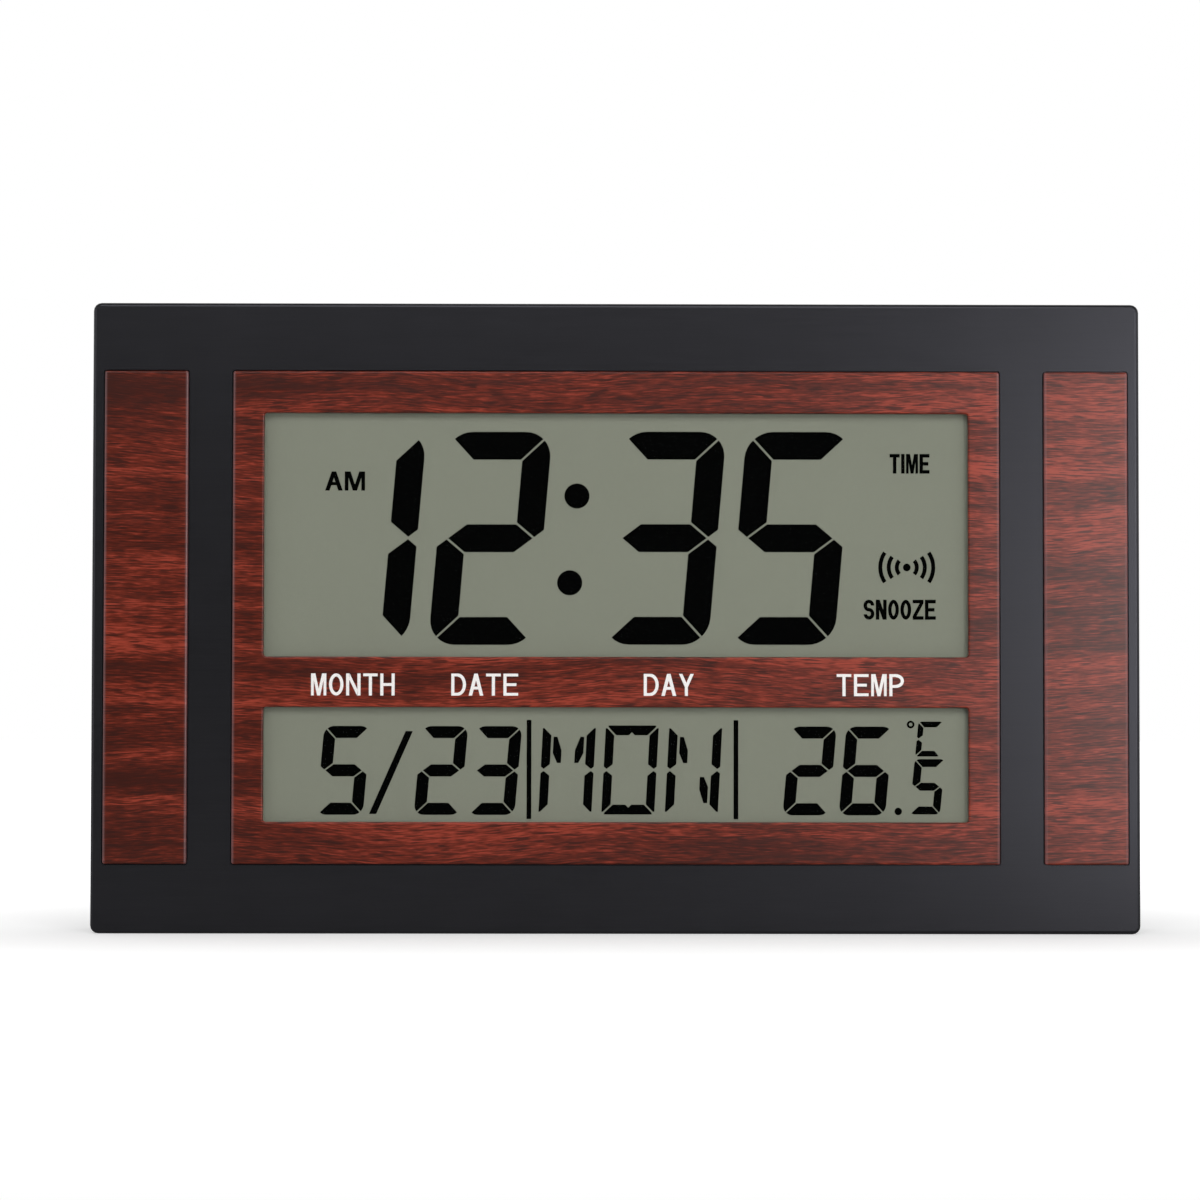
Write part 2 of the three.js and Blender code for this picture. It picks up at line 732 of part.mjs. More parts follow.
// The least gap between two turns, measured on points half a turn or more apart
function springGap() {
  const pointsPerTurn = 48;
  const points = new ConeHelix().getPoints(Math.ceil(springTurns * pointsPerTurn));
  const gaps = points.flatMap((a, i) => points.slice(i + pointsPerTurn / 2).map((b) => a.distanceTo(b)));
  return Math.min(...gaps) - springWire;
}
console.log(`contact spring: least gap between turns ${springGap().toFixed(2)} mm`);

// Contacts stand at the two ends of the box. Each is drawn facing right, with x zero on the face that
// the cell looks at
const contactHalf = contactWidth / 2;
const contactPlate = (yLow, yHigh) => block(-contactThick, 0, yLow, yHigh, -contactHalf, contactHalf);

function contactDimple() {
  const r = cellNub / 2;
  const dome = new THREE.SphereGeometry(r, plainSides, smallSides).scale(contactNub / r, 1, 1);
  return solid(dome).subtract(block(-r, -contactThick / 2, -r, r, -r, r));
}

function solderTab() {
  const end = -contactThick - fitGap - boxWall - tabReach;
  const half = contactThick / 2;
  return block(end, -half, -tabWidth / 2, tabWidth / 2, -half, half);
}

const negativeContact = () => joined([contactPlate(-contactHalf, contactHalf), contactSpring(), solderTab()]);
const positiveContact = () => joined([contactPlate(-contactHalf, contactHalf), contactDimple(), solderTab()]);

// The bridge joins both cells: a dimple for the lower one and a spring for the upper one
function bridgeContact() {
  const pitch = upperCellY - lowerCellY;
  const plate = contactPlate(-contactHalf, pitch + contactHalf);
  return joined([plate, contactDimple(), contactSpring(pitch)]);
}

// The door is drawn about the outer corner of its hooked edge: y up the door, z into the box
const doorClear = fitGap;
function batteryDoor() {
  const width = doorWidth - 2 * doorClear;
  const height = doorHeight - 2 * doorClear;
  const plate = prism(roundedRect(width, height, doorCorner, 0, height / 2), 0, doorThick);
  const hookX = width / 4;
  const hooks = [-hookX, hookX].flatMap((x) => [
    block(x - hookWidth / 2, x + hookWidth / 2, -hookReach, doorLedge, hookDrop, hookDrop + hookThick),
    block(x - hookWidth / 2, x + hookWidth / 2, 0, doorLedge, doorThick - fuse, hookDrop + hookThick),
  ]);
  const slotLow = height - latchLength;
  const slots = [-latchWidth / 2, latchWidth / 2].map((x) => {
    const half = latchSlot / 2;
    return block(x - half, x + half, slotLow, height + cutOver, -cutOver, doorThick + cutOver);
  });
  const gripY = height - latchLength / 2;
  const gripHalf = latchWidth / 2 - latchSlot;
  const grips = [-1, 0, 1].map((row) => {
    const y = gripY + row * 2 * latchSlot;
    return block(-gripHalf, gripHalf, y - latchSlot / 2, y + latchSlot / 2, -cutOver, latchGrip);
  });
  return joined([plate, ...hooks]).subtract(joined([...slots, ...grips]));
}

// The leg is drawn about its hinge: y up, z towards the front of the clock
function standLeg() {
  const half = legWidth / 2;
  const barrel = legBarrel / 2;
  const outline = new THREE.Shape();
  outline.moveTo(half, 0);
  outline.lineTo(-half, 0);
  outline.absarc(-half + legCorner, -legLength + legCorner, legCorner, Math.PI, Math.PI * 1.5);
  outline.absarc(half - legCorner, -legLength + legCorner, legCorner, Math.PI * 1.5, Math.PI * 2);
  const hollow = roundedRect(
    legWidth - 2 * legRib,
    legLength - barrel - legRib,
    legCorner - legRib,
    0,
    (-legLength - barrel + legRib) / 2,
  );
  const zOut = -barrel;
  const plate = prism(outline, zOut, zOut + legThick);
  const scooped = plate.subtract(prism(hollow, zOut + legSkin, zOut + legThick + cutOver));
  const ribLow = -legLength + legRib / 2;
  const ribs = [-legRibX, legRibX].map((x) =>
    block(x - legRib / 2, x + legRib / 2, ribLow, 0, zOut + legSkin - fuse, zOut + legThick),
  );
  const pins = crossRod(legPinDiameter, -half - legPinLength, half + legPinLength, 0, 0);
  return joined([scooped, ...ribs, crossRod(legBarrel, -half, half, 0, 0, wideSides), pins]);
}

function rearCover() {
  const shell = backRounded(caseOutline(coverInset), zBack, zPart, coverRound);
  const lipOutside = caseOutline(sideWall + fitGap);
  const lipInside = caseOutline(sideWall + fitGap + lipWall);
  const lip = prism(lipOutside, zPart - lipRoot, zPart + lipHeight).subtract(
    prism(lipInside, zPart - lipRoot - cutOver, zPart + lipHeight + cutOver),
  );
  const hollow = prism(caseOutline(coverInset + coverWall), zBack + rearWall, zPart + cutOver);
  const feet = [-footSpacing / 2, footSpacing / 2].map((x) => {
    const half = footWidth / 2;
    return block(x - half, x + half, 0, coverInset + fuse, zBack + coverRound + fuse, zPart - fuse);
  });
  const added = [
    lip,
    ...feet,
    legPocketBlock(),
    boxBlock(),
    keyTrayBlock(),
    keyholeBlock(),
    ...caseScrewPoints.map(screwWell),
  ];
  const cut = [
    legPocketCut(),
    boxCut(),
    keyTrayCut(),
    keyholeCut(),
    slotCuts(buzzerX, soundSlots),
    slotCuts(beadX, airSlots),
    ...caseScrewPoints.map(screwWellCut),
  ];
  return shell.subtract(hollow).add(joined(added)).subtract(joined(cut));
}

// Pocket for the folded leg, with a finger scoop at each side and a socket for each hinge pin
const pocketOutline = (grow) =>
  roundedRect(
    2 * (pocketHalf + grow),
    pocketTop - pocketBottom + 2 * grow,
    panelCorner,
    0,
    (pocketTop + pocketBottom) / 2,
  );
const scoopPoints = [-pocketHalf, pocketHalf].map((x) => [x, pocketBottom + scoopHeight]);
function legPocketBlock() {
  const high = zBack + pocketDepth + pocketWall;
  const box = prism(pocketOutline(pocketWall), zBack + fuse, high);
  const scoopWidth = 2 * (scoopRadius + pocketWall);
  const scoops = scoopPoints.map(([x, y]) => rod(scoopWidth, zBack + fuse, high, x, y, wideSides));
  const reach = legPinDiameter / 2 + fitGap + pocketWall;
  const half = pocketHalf + pocketWall + legPinLength;
  const sockets = block(-half, half, legPivotY - reach, legPivotY + reach, zBack + fuse, high);
  return joined([box, ...scoops, sockets]);
}

function legPocketCut() {
  const low = zBack - cutOver;
  const high = zBack + pocketDepth;
  const box = prism(pocketOutline(0), low, high);
  const scoops = scoopPoints.map(([x, y]) => rod(2 * scoopRadius, low, high, x, y, wideSides));
  const pinReach = legWidth / 2 + legPinLength + fitGap;
  const sockets = crossRod(legPinDiameter + 2 * fitGap, -pinReach, pinReach, legPivotY, legPivotZ);
  return joined([box, ...scoops, sockets]);
}

// Box for two cells side by side, with a ledge for its door
function boxBlock() {
  const grow = 2 * (doorLedge + boxWall);
  const rim = roundedRect(boxLength + grow, boxHeight + grow, doorCorner, boxMidX, boxMidY);
  const wall = roundedRect(boxLength + 2 * boxWall, boxHeight + 2 * boxWall, doorCorner, boxMidX, boxMidY);
  const ledgeHigh = zDoor + hookDrop + hookThick + hookReach + boxWall;
  return prism(rim, zBack + fuse, ledgeHigh).add(prism(wall, zBack + fuse, zBox));
}

function boxCut() {
  const inside = roundedRect(boxLength, boxHeight, innerCorner, boxMidX, boxMidY);
  const seat = roundedRect(doorWidth, doorHeight, doorCorner + doorClear, boxMidX, boxMidY);
  const hookX = (doorWidth - 2 * doorClear) / 4;
  const hookSlots = [boxMidX - hookX, boxMidX + hookX].map((x) => {
    const half = hookWidth / 2 + fitGap;
    const low = zDoor + hookDrop - fitGap;
    const high = zDoor + hookDrop + hookThick + hookReach;
    const edge = doorBottom + doorClear - hookReach - fitGap;
    return block(x - half, x + half, edge, boxBottom + fuse, low, high);
  });
  const tabSlots = [lowerCellY, upperCellY].map((y) => {
    const half = tabWidth / 2 + fitGap;
    const thick = contactThick / 2 + fitGap;
    const outside = boxLeft - boxWall - cutOver;
    return block(outside, boxLeft + fuse, y - half, y + half, zCell - thick, zCell + thick);
  });
  const doorTop = doorBottom + doorHeight;
  const thumbNotch = rod(latchWidth, zBack - cutOver, zDoor + doorThick, boxMidX, doorTop, fineSides);
  return joined([
    prism(inside, zBack - cutOver, zBox - boxFloor),
    prism(seat, zBack - cutOver, zDoor + doorThick + layerGap),
    ...hookSlots,
    ...tabSlots,
    thumbNotch,
  ]);
}

// Sunken tray for the keys
const trayOutline = (grow) =>
  roundedRect(trayWidth + 2 * grow, trayHeight + 2 * grow, keyCorner + grow, keyRowX, keyRowY);
const keyHole = ([x, y]) =>
  roundedRect(keyWidth + 2 * fitGap, keyHeight + 2 * fitGap, keyCorner + fitGap, x, y);
const keyTrayBlock = () => prism(trayOutline(trayFloor), zBack + fuse, zTray + trayFloor);

function keyTrayCut() {
  const tray = prism(trayOutline(0), zBack - cutOver, zTray);
  const holes = keyPoints.map((point) => prism(keyHole(point), zBack, zTray + trayFloor + cutOver));
  return joined([tray, ...holes]);
}

// Keyhole: the head of a wall screw enters the round end and its shank slides up the slot
const keyholeMidY = keyholeY + keyholeRise / 2;
const keyholePocket = (grow) =>
  roundedRect(
    keyholePocketWidth + 2 * grow,
    keyholePocketHeight + 2 * grow,
    panelCorner + grow,
    0,
    keyholeMidY,
  );
const keyholeBlock = () =>
  prism(keyholePocket(keyholeWall), zBack + fuse, zBack + keyholeDepth + keyholeWall);

function keyholeCut() {
  const slotEnd = keyholeSlot / 2 - layerGap;
  const slot = roundedRect(keyholeSlot, keyholeRise + keyholeSlot, slotEnd, 0, keyholeMidY);
  return joined([
    prism(keyholePocket(0), zBack + rearWall, zBack + keyholeDepth),
    prism(slot, zBack - cutOver, zBack + rearWall + cutOver),
    rod(keyholeHead, zBack - cutOver, zBack + rearWall + cutOver, 0, keyholeY, fineSides),
  ]);
}

// Upright slots, evenly spaced about x
const beadX = boardWidth / 2 - beadDiameter;
function slotCuts(x, count) {
  const slots = Array.from({ length: count }, (_, i) => {
    const at = x + slotPitch * (i - (count - 1) / 2);
    const shape = roundedRect(slotWidth, slotLength, slotWidth / 2 - layerGap, at, keyRowY);
    return prism(shape, zBack - cutOver, zBack + rearWall + cutOver);
  });
  return joined(slots);
}

// Wells that sink the case screws
const wellBore = caseHead + 2 * wellGap;
const zWellEnd = zWellSeat + wellWeb;
const screwWell = ([x, y]) => rod(wellBore + 2 * wellWall, zBack + fuse, zWellEnd, x, y, wideSides);
function screwWellCut([x, y]) {
  const well = rod(wellBore, zBack - cutOver, zWellSeat, x, y, wideSides);
  const bore = rod(caseShank + 2 * fitGap, zWellSeat - cutOver, zWellEnd + cutOver, x, y, smallSides);
  return well.add(bore);
}

// Battery leads leave the solder tabs, climb the channel between the leg pocket and the box, each at its
// own depth, and turn in to pads on the board
const leadStartX = boxLeft - boxWall - tabReach - fitGap;
const leadEndZ = zBoardBack - fitGap;
const channelX = pocketHalf + pocketWall + boxChannel / 2;
const padY = boardBottom + padInset;
function leadRoute(startY, climb, padX) {
  const zClimb = zCell + climb;
  return [
    [leadStartX, startY, zCell],
    [leadStartX - leadBend, startY + leadBend / 2, zCell + climb / 6],
    [channelX - leadBend / 2, startY + 4 * leadBend, zClimb],
    [channelX - leadBend / 2, boardBottom - 4 * leadBend, zClimb],
    [padX, padY - leadBend, leadEndZ - 2 * leadBend],
    [padX, padY, leadEndZ],
  ];
}
const redRoute = leadRoute(upperCellY, leadBend / 2, channelX + leadSpread);
const blackRoute = leadRoute(lowerCellY, leadSpread + leadBend / 2, channelX - leadBend / 2);

const leadSteps = 18;
function lead(route) {
  const path = new THREE.CatmullRomCurve3(route.map((p) => new THREE.Vector3(...p)));
  const section = new THREE.Shape().absarc(0, 0, leadDiameter / 2, 0, Math.PI * 2);
  const geometry = new THREE.ExtrudeGeometry(section, {
    steps: leadSteps,
    extrudePath: path,
    bevelEnabled: false,
    curveSegments: wireSegments,
  });
  return solid(geometry);
}

// Assembly
const face = new THREE.Group();
face.rotation.x = Math.PI / 2;

face.add(piece('front_case', frontCase(), blackPlastic));
face.add(piece('wood_bezel', woodBezel(), woodGrain));
face.add(placed(piece('wood_strip_left', woodStrip(), woodGrain), -stripX, 0, 0));
face.add(placed(piece('wood_strip_right', woodStrip(), woodGrain), stripX, 0, 0));

face.add(piece('display_lens', displayLens(), clearPlastic));
face.add(piece('lcd_polariser', polariser(), displayGrey));
face.add(piece('lcd_front_glass', frontGlass(), glass));
face.add(piece('lcd_rear_glass', rearGlass(), glass));
face.add(piece('lcd_reflector', reflector(), silver));
face.add(piece('lcd_retainer', displayRetainer(), greyPlastic));
face.add(piece('zebra_strip', zebraStrip(), elastomer));

const boardY = (boardTop + boardBottom) / 2;
const zParts = zBoardBack - layerGap;
face.add(piece('circuit_board', circuitBoard(), boardGreen));
face.add(placed(piece('clock_chip', clockChip(), epoxyBlack), chipX, boardY, zParts));
face.add(placed(piece('quartz_crystal', quartzCrystal(), steel), crystalX, boardY, zParts));
face.add(placed(piece('capacitor', capacitor(), epoxyBlack), capacitorX, boardY, zParts));
face.add(placed(piece('buzzer', buzzer(), epoxyBlack), buzzerX, keyRowY, zParts));
face.add(placed(piece('thermistor', thermistor(), epoxyBlack), beadX, keyRowY, zParts));

keyNames.forEach((name, i) => {
  const [x, y] = keyPoints[i];
  face.add(placed(piece(`switch_${name}`, switchBody(), epoxyBlack), x, y, zParts));
  face.add(placed(piece(`plunger_${name}`, plunger(), keyGrey), x, y, zParts));
  face.add(placed(piece(`key_${name}`, key(), keyGrey), x, y, 0));
});

face.add(piece('rear_cover', rearCover(), blackPlastic));
face.add(placed(piece('stand_leg', standLeg(), blackPlastic), 0, legPivotY, legPivotZ));
face.add(placed(piece('battery_door', batteryDoor(), blackPlastic), boxMidX, doorBottom + doorClear, zDoor));

const leftPlateX = boxLeft + fitGap + contactThick;
const rightPlateX = boxRight - fitGap - contactThick;
const lowerCell = piece('battery_lower', cell(), cellJacket);
const upperCell = piece('battery_upper', cell(), cellJacket);
upperCell.rotation.z = Math.PI;
face.add(placed(lowerCell, leftPlateX + springLength + fitGap, lowerCellY, zCell));
face.add(placed(upperCell, rightPlateX - springLength - fitGap, upperCellY, zCell));
face.add(placed(piece('contact_negative', negativeContact(), steel), leftPlateX, lowerCellY, zCell));
face.add(placed(piece('contact_positive', positiveContact(), brass), leftPlateX, upperCellY, zCell));
const bridge = piece('contact_bridge', bridgeContact(), steel);
bridge.rotation.y = Math.PI;
face.add(placed(bridge, rightPlateX, lowerCellY, zCell));
face.add(piece('lead_red', lead(redRoute), redSheath));
face.add(piece('lead_black', lead(blackRoute), blackSheath));

const screwSets = [
  ['case_screw', caseScrew, caseScrewPoints, zWellSeat - layerGap],
  ['retainer_screw', retainerScrew, retainerScrewPoints, zRetainerBack - layerGap],
  ['board_screw', boardScrew, boardScrewPoints, zBoardBack - layerGap],
];
screwSets.forEach(([name, screw, points, seat]) => {
  points.forEach(([x, y], i) => {
    const mesh = piece(`${name}_${i + 1}`, screwBody(screw), steel);
    face.add(placed(mesh, x, y, seat));
  });
});

const clock = new THREE.Group();
clock.add(face);
export default clock;
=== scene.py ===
# Looks of the digital alarm clock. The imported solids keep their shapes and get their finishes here.
# The lit signs of the display, the printed words, the studio and the camera are made here too.
import json
import math

import bpy
from mathutils import Matrix, Vector


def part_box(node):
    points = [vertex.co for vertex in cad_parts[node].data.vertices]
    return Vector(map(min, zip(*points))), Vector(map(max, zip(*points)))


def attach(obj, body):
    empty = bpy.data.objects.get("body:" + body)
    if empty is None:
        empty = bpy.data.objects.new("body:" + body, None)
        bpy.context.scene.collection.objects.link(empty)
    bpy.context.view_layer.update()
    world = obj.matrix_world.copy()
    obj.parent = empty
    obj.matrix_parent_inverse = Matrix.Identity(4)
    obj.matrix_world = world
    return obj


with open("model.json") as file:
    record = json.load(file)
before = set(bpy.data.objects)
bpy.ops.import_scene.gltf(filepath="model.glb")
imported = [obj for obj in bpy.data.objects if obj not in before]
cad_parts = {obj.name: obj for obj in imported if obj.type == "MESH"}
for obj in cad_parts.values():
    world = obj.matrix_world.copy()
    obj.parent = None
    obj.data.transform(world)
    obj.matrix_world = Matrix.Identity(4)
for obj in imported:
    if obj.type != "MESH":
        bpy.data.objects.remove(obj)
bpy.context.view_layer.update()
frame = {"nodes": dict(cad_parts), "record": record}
nodes = frame["nodes"]

mm = 0.001
upright = (math.pi / 2, 0, 0)

# Display: the lit signs lie between the back of the lens and the polarising film
film_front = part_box("lcd_polariser")[0].y
lens_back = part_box("display_lens")[1].y
sign_depth = 0.03 * mm
sign_y = (film_front + lens_back) / 2

# Printing on the middle rail of the bezel
bezel_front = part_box("wood_bezel")[0].y
print_depth = 0.01 * mm

# Numbers of edges that make a rounded corner and a disc
corner_edges = 8
disc_edges = 40


# Hand tools
def pick(*pieces):
    bpy.ops.object.select_all(action="DESELECT")
    for piece in pieces:
        piece.select_set(True)
    bpy.context.view_layer.objects.active = pieces[0]


def edit(piece):
    pick(piece)
    bpy.ops.object.mode_set(mode="EDIT")
    bpy.ops.mesh.select_all(action="SELECT")


def leave():
    bpy.ops.object.mode_set(mode="OBJECT")


def settle(piece):
    """Puts the piece's place, turn and size into its mesh."""
    pick(piece)
    bpy.ops.object.transform_apply(location=True, rotation=True, scale=True)


def twin(piece):
    copy = piece.copy()
    copy.data = piece.data.copy()
    bpy.context.scene.collection.objects.link(copy)
    return copy


def joined(name, pieces):
    pick(*pieces)
    if len(pieces) > 1:
        bpy.ops.object.join()
    whole = bpy.context.object
    whole.name = name
    whole.data.name = name
    return whole


def thicken(piece, depth):
    pick(piece)
    bpy.ops.object.modifier_add(type="SOLIDIFY")
    wall = piece.modifiers[-1]
    wall.thickness = depth
    wall.offset = 0
    bpy.ops.object.modifier_apply(modifier=wall.name)


def upright_plate(width, height):
    """A flat plate that faces the viewer, centred on the origin."""
    bpy.ops.object.select_all(action="DESELECT")
    bpy.ops.mesh.primitive_plane_add(size=1, rotation=upright)
    plate = bpy.context.object
    plate.scale = (width, height, 1)
    settle(plate)
    return plate


def trim(point, outward, lean=0.0, back=0.0):
    """Cuts the plate in edit mode along a line and drops what lies outward of it. The line is given on an
    upright sign and leans with it, and back moves it inwards."""
    length = math.hypot(*outward)
    x = point[0] - back * outward[0] / length
    z = point[1] - back * outward[1] / length
    away = Vector((outward[0], 0, outward[1] - lean * outward[0])).normalized()
    bpy.ops.mesh.select_all(action="SELECT")
    bpy.ops.mesh.bisect(plane_co=(x + lean * z, 0, z), plane_no=away, clear_outer=True)


def leaning_plate(width, height, lean, corner=0.0):
    """A plate with leaning sides and rounded corners, left in edit mode."""
    plate = upright_plate(width + 2 * abs(lean) * height, height)
    edit(plate)
    for side in (-1, 1):
        trim((side * width / 2, 0), (side, 0), lean)
    if corner:
        bpy.ops.mesh.select_all(action="SELECT")
        bpy.ops.mesh.bevel(offset=corner, segments=corner_edges, affect="VERTICES")
    return plate


def disc(radius):
    """A round plate that faces the viewer. Its radius is in millimetres."""
    bpy.ops.object.select_all(action="DESELECT")
    bpy.ops.mesh.primitive_circle_add(
        vertices=disc_edges, radius=radius * mm, fill_type="NGON", rotation=upright
    )
    dot = bpy.context.object
    settle(dot)
    return dot


def hollow(plate, stroke):
    """Leaves only a rim of the plate."""
    edit(plate)
    bpy.ops.mesh.inset(thickness=stroke * mm)
    bpy.ops.mesh.delete(type="FACE")
    leave()


def ring(radius, stroke):
    """A flat ring. The radius is that of the middle of its stroke."""
    band = disc(radius + stroke / 2)
    hollow(band, stroke)
    return band


lit_signs = []


def show(sign, x, z):
    """Gives a lit sign its depth and puts it in front of the film."""
    thicken(sign, sign_depth)
    sign.location = (x * mm, sign_y, z * mm)
    settle(sign)
    lit_signs.append(sign)


# Sizes of the digits and letters in millimetres. Uprights and level bars each have a stroke of their own,
# and the outer corners are rounded or the tips cut off.
time_digit = {
    "width": 26.3, "height": 53.0, "stroke": 6.9, "level": 6.9,
    "corner": 6.6, "tip": 0.0, "gap": 0.5, "lean": 0.0855,
}
date_digit = {
    "width": 11.55, "height": 22.0, "stroke": 2.98, "level": 2.98,
    "corner": 2.5, "tip": 0.0, "gap": 0.35, "lean": 0.088,
}
tenth_digit = {
    "width": 7.6, "height": 13.7, "stroke": 1.95, "level": 1.95,
    "corner": 1.3, "tip": 0.0, "gap": 0.25, "lean": 0.1,
}
unit_letter = {
    "width": 6.2, "height": 8.65, "stroke": 1.4, "level": 1.4,
    "corner": 0.9, "tip": 0.0, "gap": 0.25, "lean": 0.1,
}
day_letter = {
    "width": 13.15, "height": 22.05, "stroke": 2.2, "level": 2.42,
    "corner": 0.0, "tip": 0.68, "gap": 0.4, "lean": 0.052,
}

# Uprights and the middle bar meet on lines that slope by this angle. The lines start on the middle of the
# digit's height, this share of the stroke in from its side.
bar_slope = math.radians(38.4)
bar_tip = 0.33

# Bars of each character: a at the top, then b to f clockwise round the outline, and g in the middle
digit_bars = {
    "1": "bc",
    "2": "abged",
    "3": "abgcd",
    "5": "afgcd",
    "6": "afgedc",
    "C": "afed",
}

# Places of the digits: the name of the piece, its character, x and z in millimetres
date_row = 40.32
time_places = [
    ("time_hour_tens", "1", -62.6, 98.05),
    ("time_hour_units", "2", -31.28, 98.0),
    ("time_minute_tens", "3", 12.02, 98.1),
    ("time_minute_units", "5", 43.34, 98.1),
]
date_places = [
    ("date_month", "5", -67.55, date_row),
    ("date_day_tens", "2", -43.38, date_row),
    ("date_day_units", "3", -29.98, date_row),
    ("temperature_tens", "2", 48.1, date_row),
    ("temperature_units", "6", 62.05, date_row),
]
tenth_places = [("temperature_tenths", "5", 77.32, 36.42)]
unit_places = [("temperature_scale", "C", 77.82, 48.25)]


# Digits
def digit_bar(letter, size):
    """One of the seven bars a to g, cut from the outline of the whole digit."""
    half_width = size["width"] * mm / 2
    half_height = size["height"] * mm / 2
    stroke = size["stroke"] * mm
    thick = size["level"] * mm
    cut_off = size["tip"] * mm
    back = size["gap"] * mm / 2
    lean = size["lean"]
    tip = half_width - bar_tip * stroke
    across, along = math.sin(bar_slope), math.cos(bar_slope)
    side = 1 if letter in "bc" else -1
    level = 1 if letter in "abf" else -1
    bar = leaning_plate(2 * half_width, 2 * half_height, lean, size["corner"] * mm)
    if letter in "ad":
        trim((0, level * (half_height - thick)), (0, -level), lean)
        for end in (-1, 1):
            trim((end * half_width, level * half_height), (end, -level), lean, back)
            if cut_off:
                trim((end * (half_width - cut_off), 0), (end, 0), lean)
    elif letter == "g":
        for edge in (-1, 1):
            trim((0, edge * thick / 2), (0, edge), lean)
            for end in (-1, 1):
                trim((end * tip, 0), (end * across, edge * along), lean, back)
    else:
        trim((side * (half_width - stroke), 0), (-side, 0), lean)
        trim((side * half_width, level * half_height), (-side, level), lean, back)
        if cut_off:
            trim((0, level * (half_height - cut_off)), (0, level), lean)
        for end in (-1, 1):
            trim((side * tip, 0), (end * across, -level * along), lean, back)
    leave()
    return bar


def show_digits(size, places):
    bars = {letter: digit_bar(letter, size) for letter in "abcdefg"}
    for name, character, x, z in places:
        lit = [twin(bars[letter]) for letter in digit_bars[character]]
        show(joined(name, lit), x, z)
    for bar in bars.values():
        bpy.data.objects.remove(bar)


show_digits(time_digit, time_places)
show_digits(date_digit, date_places)
show_digits(tenth_digit, tenth_places)
show_digits(unit_letter, unit_places)

# Weekday: each letter has its bars, the quarters that hold a slanting bar, as side and level, and its x.
# A cut that takes a corner off a slanting bar runs so far across the bar and so far along it.
day_row = 40.5
weekday_letters = {
    "weekday_first": ("bcef", [(-1, 1), (1, 1)], -12.08),
    "weekday_second": ("abcdef", [], 3.52),
    "weekday_third": ("bcef", [(-1, 1), (1, -1)], 19.28),
}
slant_bar = {
    "inner": 1.66, "outer": 3.8, "low": 1.72, "high": 8.2,
    "high_cut": (1.2, 3.34), "low_cut": (1.15, 2.46),
}
notch_size = 0.75
notch_search = 0.1


def day_slant(side, level):
    """The short slanting bar in a quarter of a weekday letter: an upright strip without two corners."""
    inner, outer = slant_bar["inner"], slant_bar["outer"]
    low, high = slant_bar["low"], slant_bar["high"]
    lean = day_letter["lean"]
    bar = leaning_plate(day_letter["width"] * mm, day_letter["height"] * mm, lean)
    for edge, outward in ((inner, -side), (outer, side)):
        trim((side * edge * mm, 0), (outward, 0), lean)
    for edge, outward in ((low, -level), (high, level)):
        trim((0, level * edge * mm), (0, outward), lean)
    across, along = slant_bar["high_cut"]
    trim((side * (inner + across) * mm, level * high * mm), (-side * along, level * across), lean)
    across, along = slant_bar["low_cut"]
    trim((side * (outer - across) * mm, level * low * mm), (side * along, -level * across), lean)
    leave()
    return bar


def notch(bar, level):
    """The small dent at the middle of the inner edge of a top or bottom bar."""
    inner = level * (day_letter["height"] / 2 - day_letter["level"]) * mm
    middle = day_letter["lean"] * inner
    edit(bar)
    bpy.ops.mesh.select_mode(type="VERT")
    for place in (-notch_size, 0, notch_size):
        bpy.ops.mesh.select_all(action="SELECT")
        bpy.ops.mesh.bisect(plane_co=(place * mm + middle, 0, 0), plane_no=(1, 0, 0))
    bpy.ops.mesh.select_all(action="DESELECT")
    leave()
    for corner in bar.data.vertices:
        corner.select = math.hypot(corner.co.x - middle, corner.co.z - inner) < notch_search * mm
    bpy.ops.object.mode_set(mode="EDIT")
    bpy.ops.transform.translate(value=(0, 0, level * notch_size * mm))
    leave()


def show_weekday():
    bars = {letter: digit_bar(letter, day_letter) for letter in "abcdef"}
    notch(bars["a"], 1)
    notch(bars["d"], -1)
    for name, (lit, slants, x) in weekday_letters.items():
        pieces = [twin(bars[letter]) for letter in lit]
        pieces += [day_slant(side, level) for side, level in slants]
        show(joined(name, pieces), x, day_row)
    for bar in bars.values():
        bpy.data.objects.remove(bar)


show_weekday()

# Colon, degree ring, decimal point, dividers, slash and snooze mark. Sizes and places are in millimetres.
colon_radius = 3.12
colon_places = ((-9.76, 108.55), (-11.54, 86.95))
degree_radius, degree_stroke = 0.7, 0.5
degree_place = (73.2, 51.85)
divider_width, divider_height, divider_corner = 1.16, 24.55, 0.12
divider_row = 40.6
divider_places = {"divider_left": -21.56, "divider_right": 29.8}
slash_width, slash_height, slash_corner = 1.8, 20.55, 0.15
slash_lean = 0.439
slash_place = (-55.8, 39.8)
point_radius = 0.92
point_place = (70.08, 30.3)

# Each pair of sound arcs has a radius and a spread above and below the level line in degrees
sound_arcs = ((2.5, 42), (4.5, 37), (6.6, 34))
arc_stroke = 1.0
snooze_dot_radius = 0.95
snooze_place = (72.3, 90.9)


def show_colon():
    dots = []
    for x, z in colon_places:
        dot = disc(colon_radius)
        dot.location = (x * mm, 0, z * mm)
        settle(dot)
        dots.append(dot)
    show(joined("time_colon", dots), 0, 0)


def show_degree():
    degree = ring(degree_radius, degree_stroke)
    degree.name = "temperature_degree"
    show(degree, *degree_place)


def show_bar(name, width, height, lean, corner, place):
    bar = leaning_plate(width * mm, height * mm, lean, corner * mm)
    leave()
    bar.name = name
    show(bar, *place)


def show_point():
    point = disc(point_radius)
    point.name = "temperature_point"
    show(point, *point_place)


def sound_arc(radius, spread, side):
    """The part of a ring on one side, as far as the angle spread above and below the level line."""
    arc = ring(radius, arc_stroke)
    edit(arc)
    for level in (-1, 1):
        trim((0, 0), (-side * math.sin(spread), level * math.cos(spread)))
    leave()
    return arc


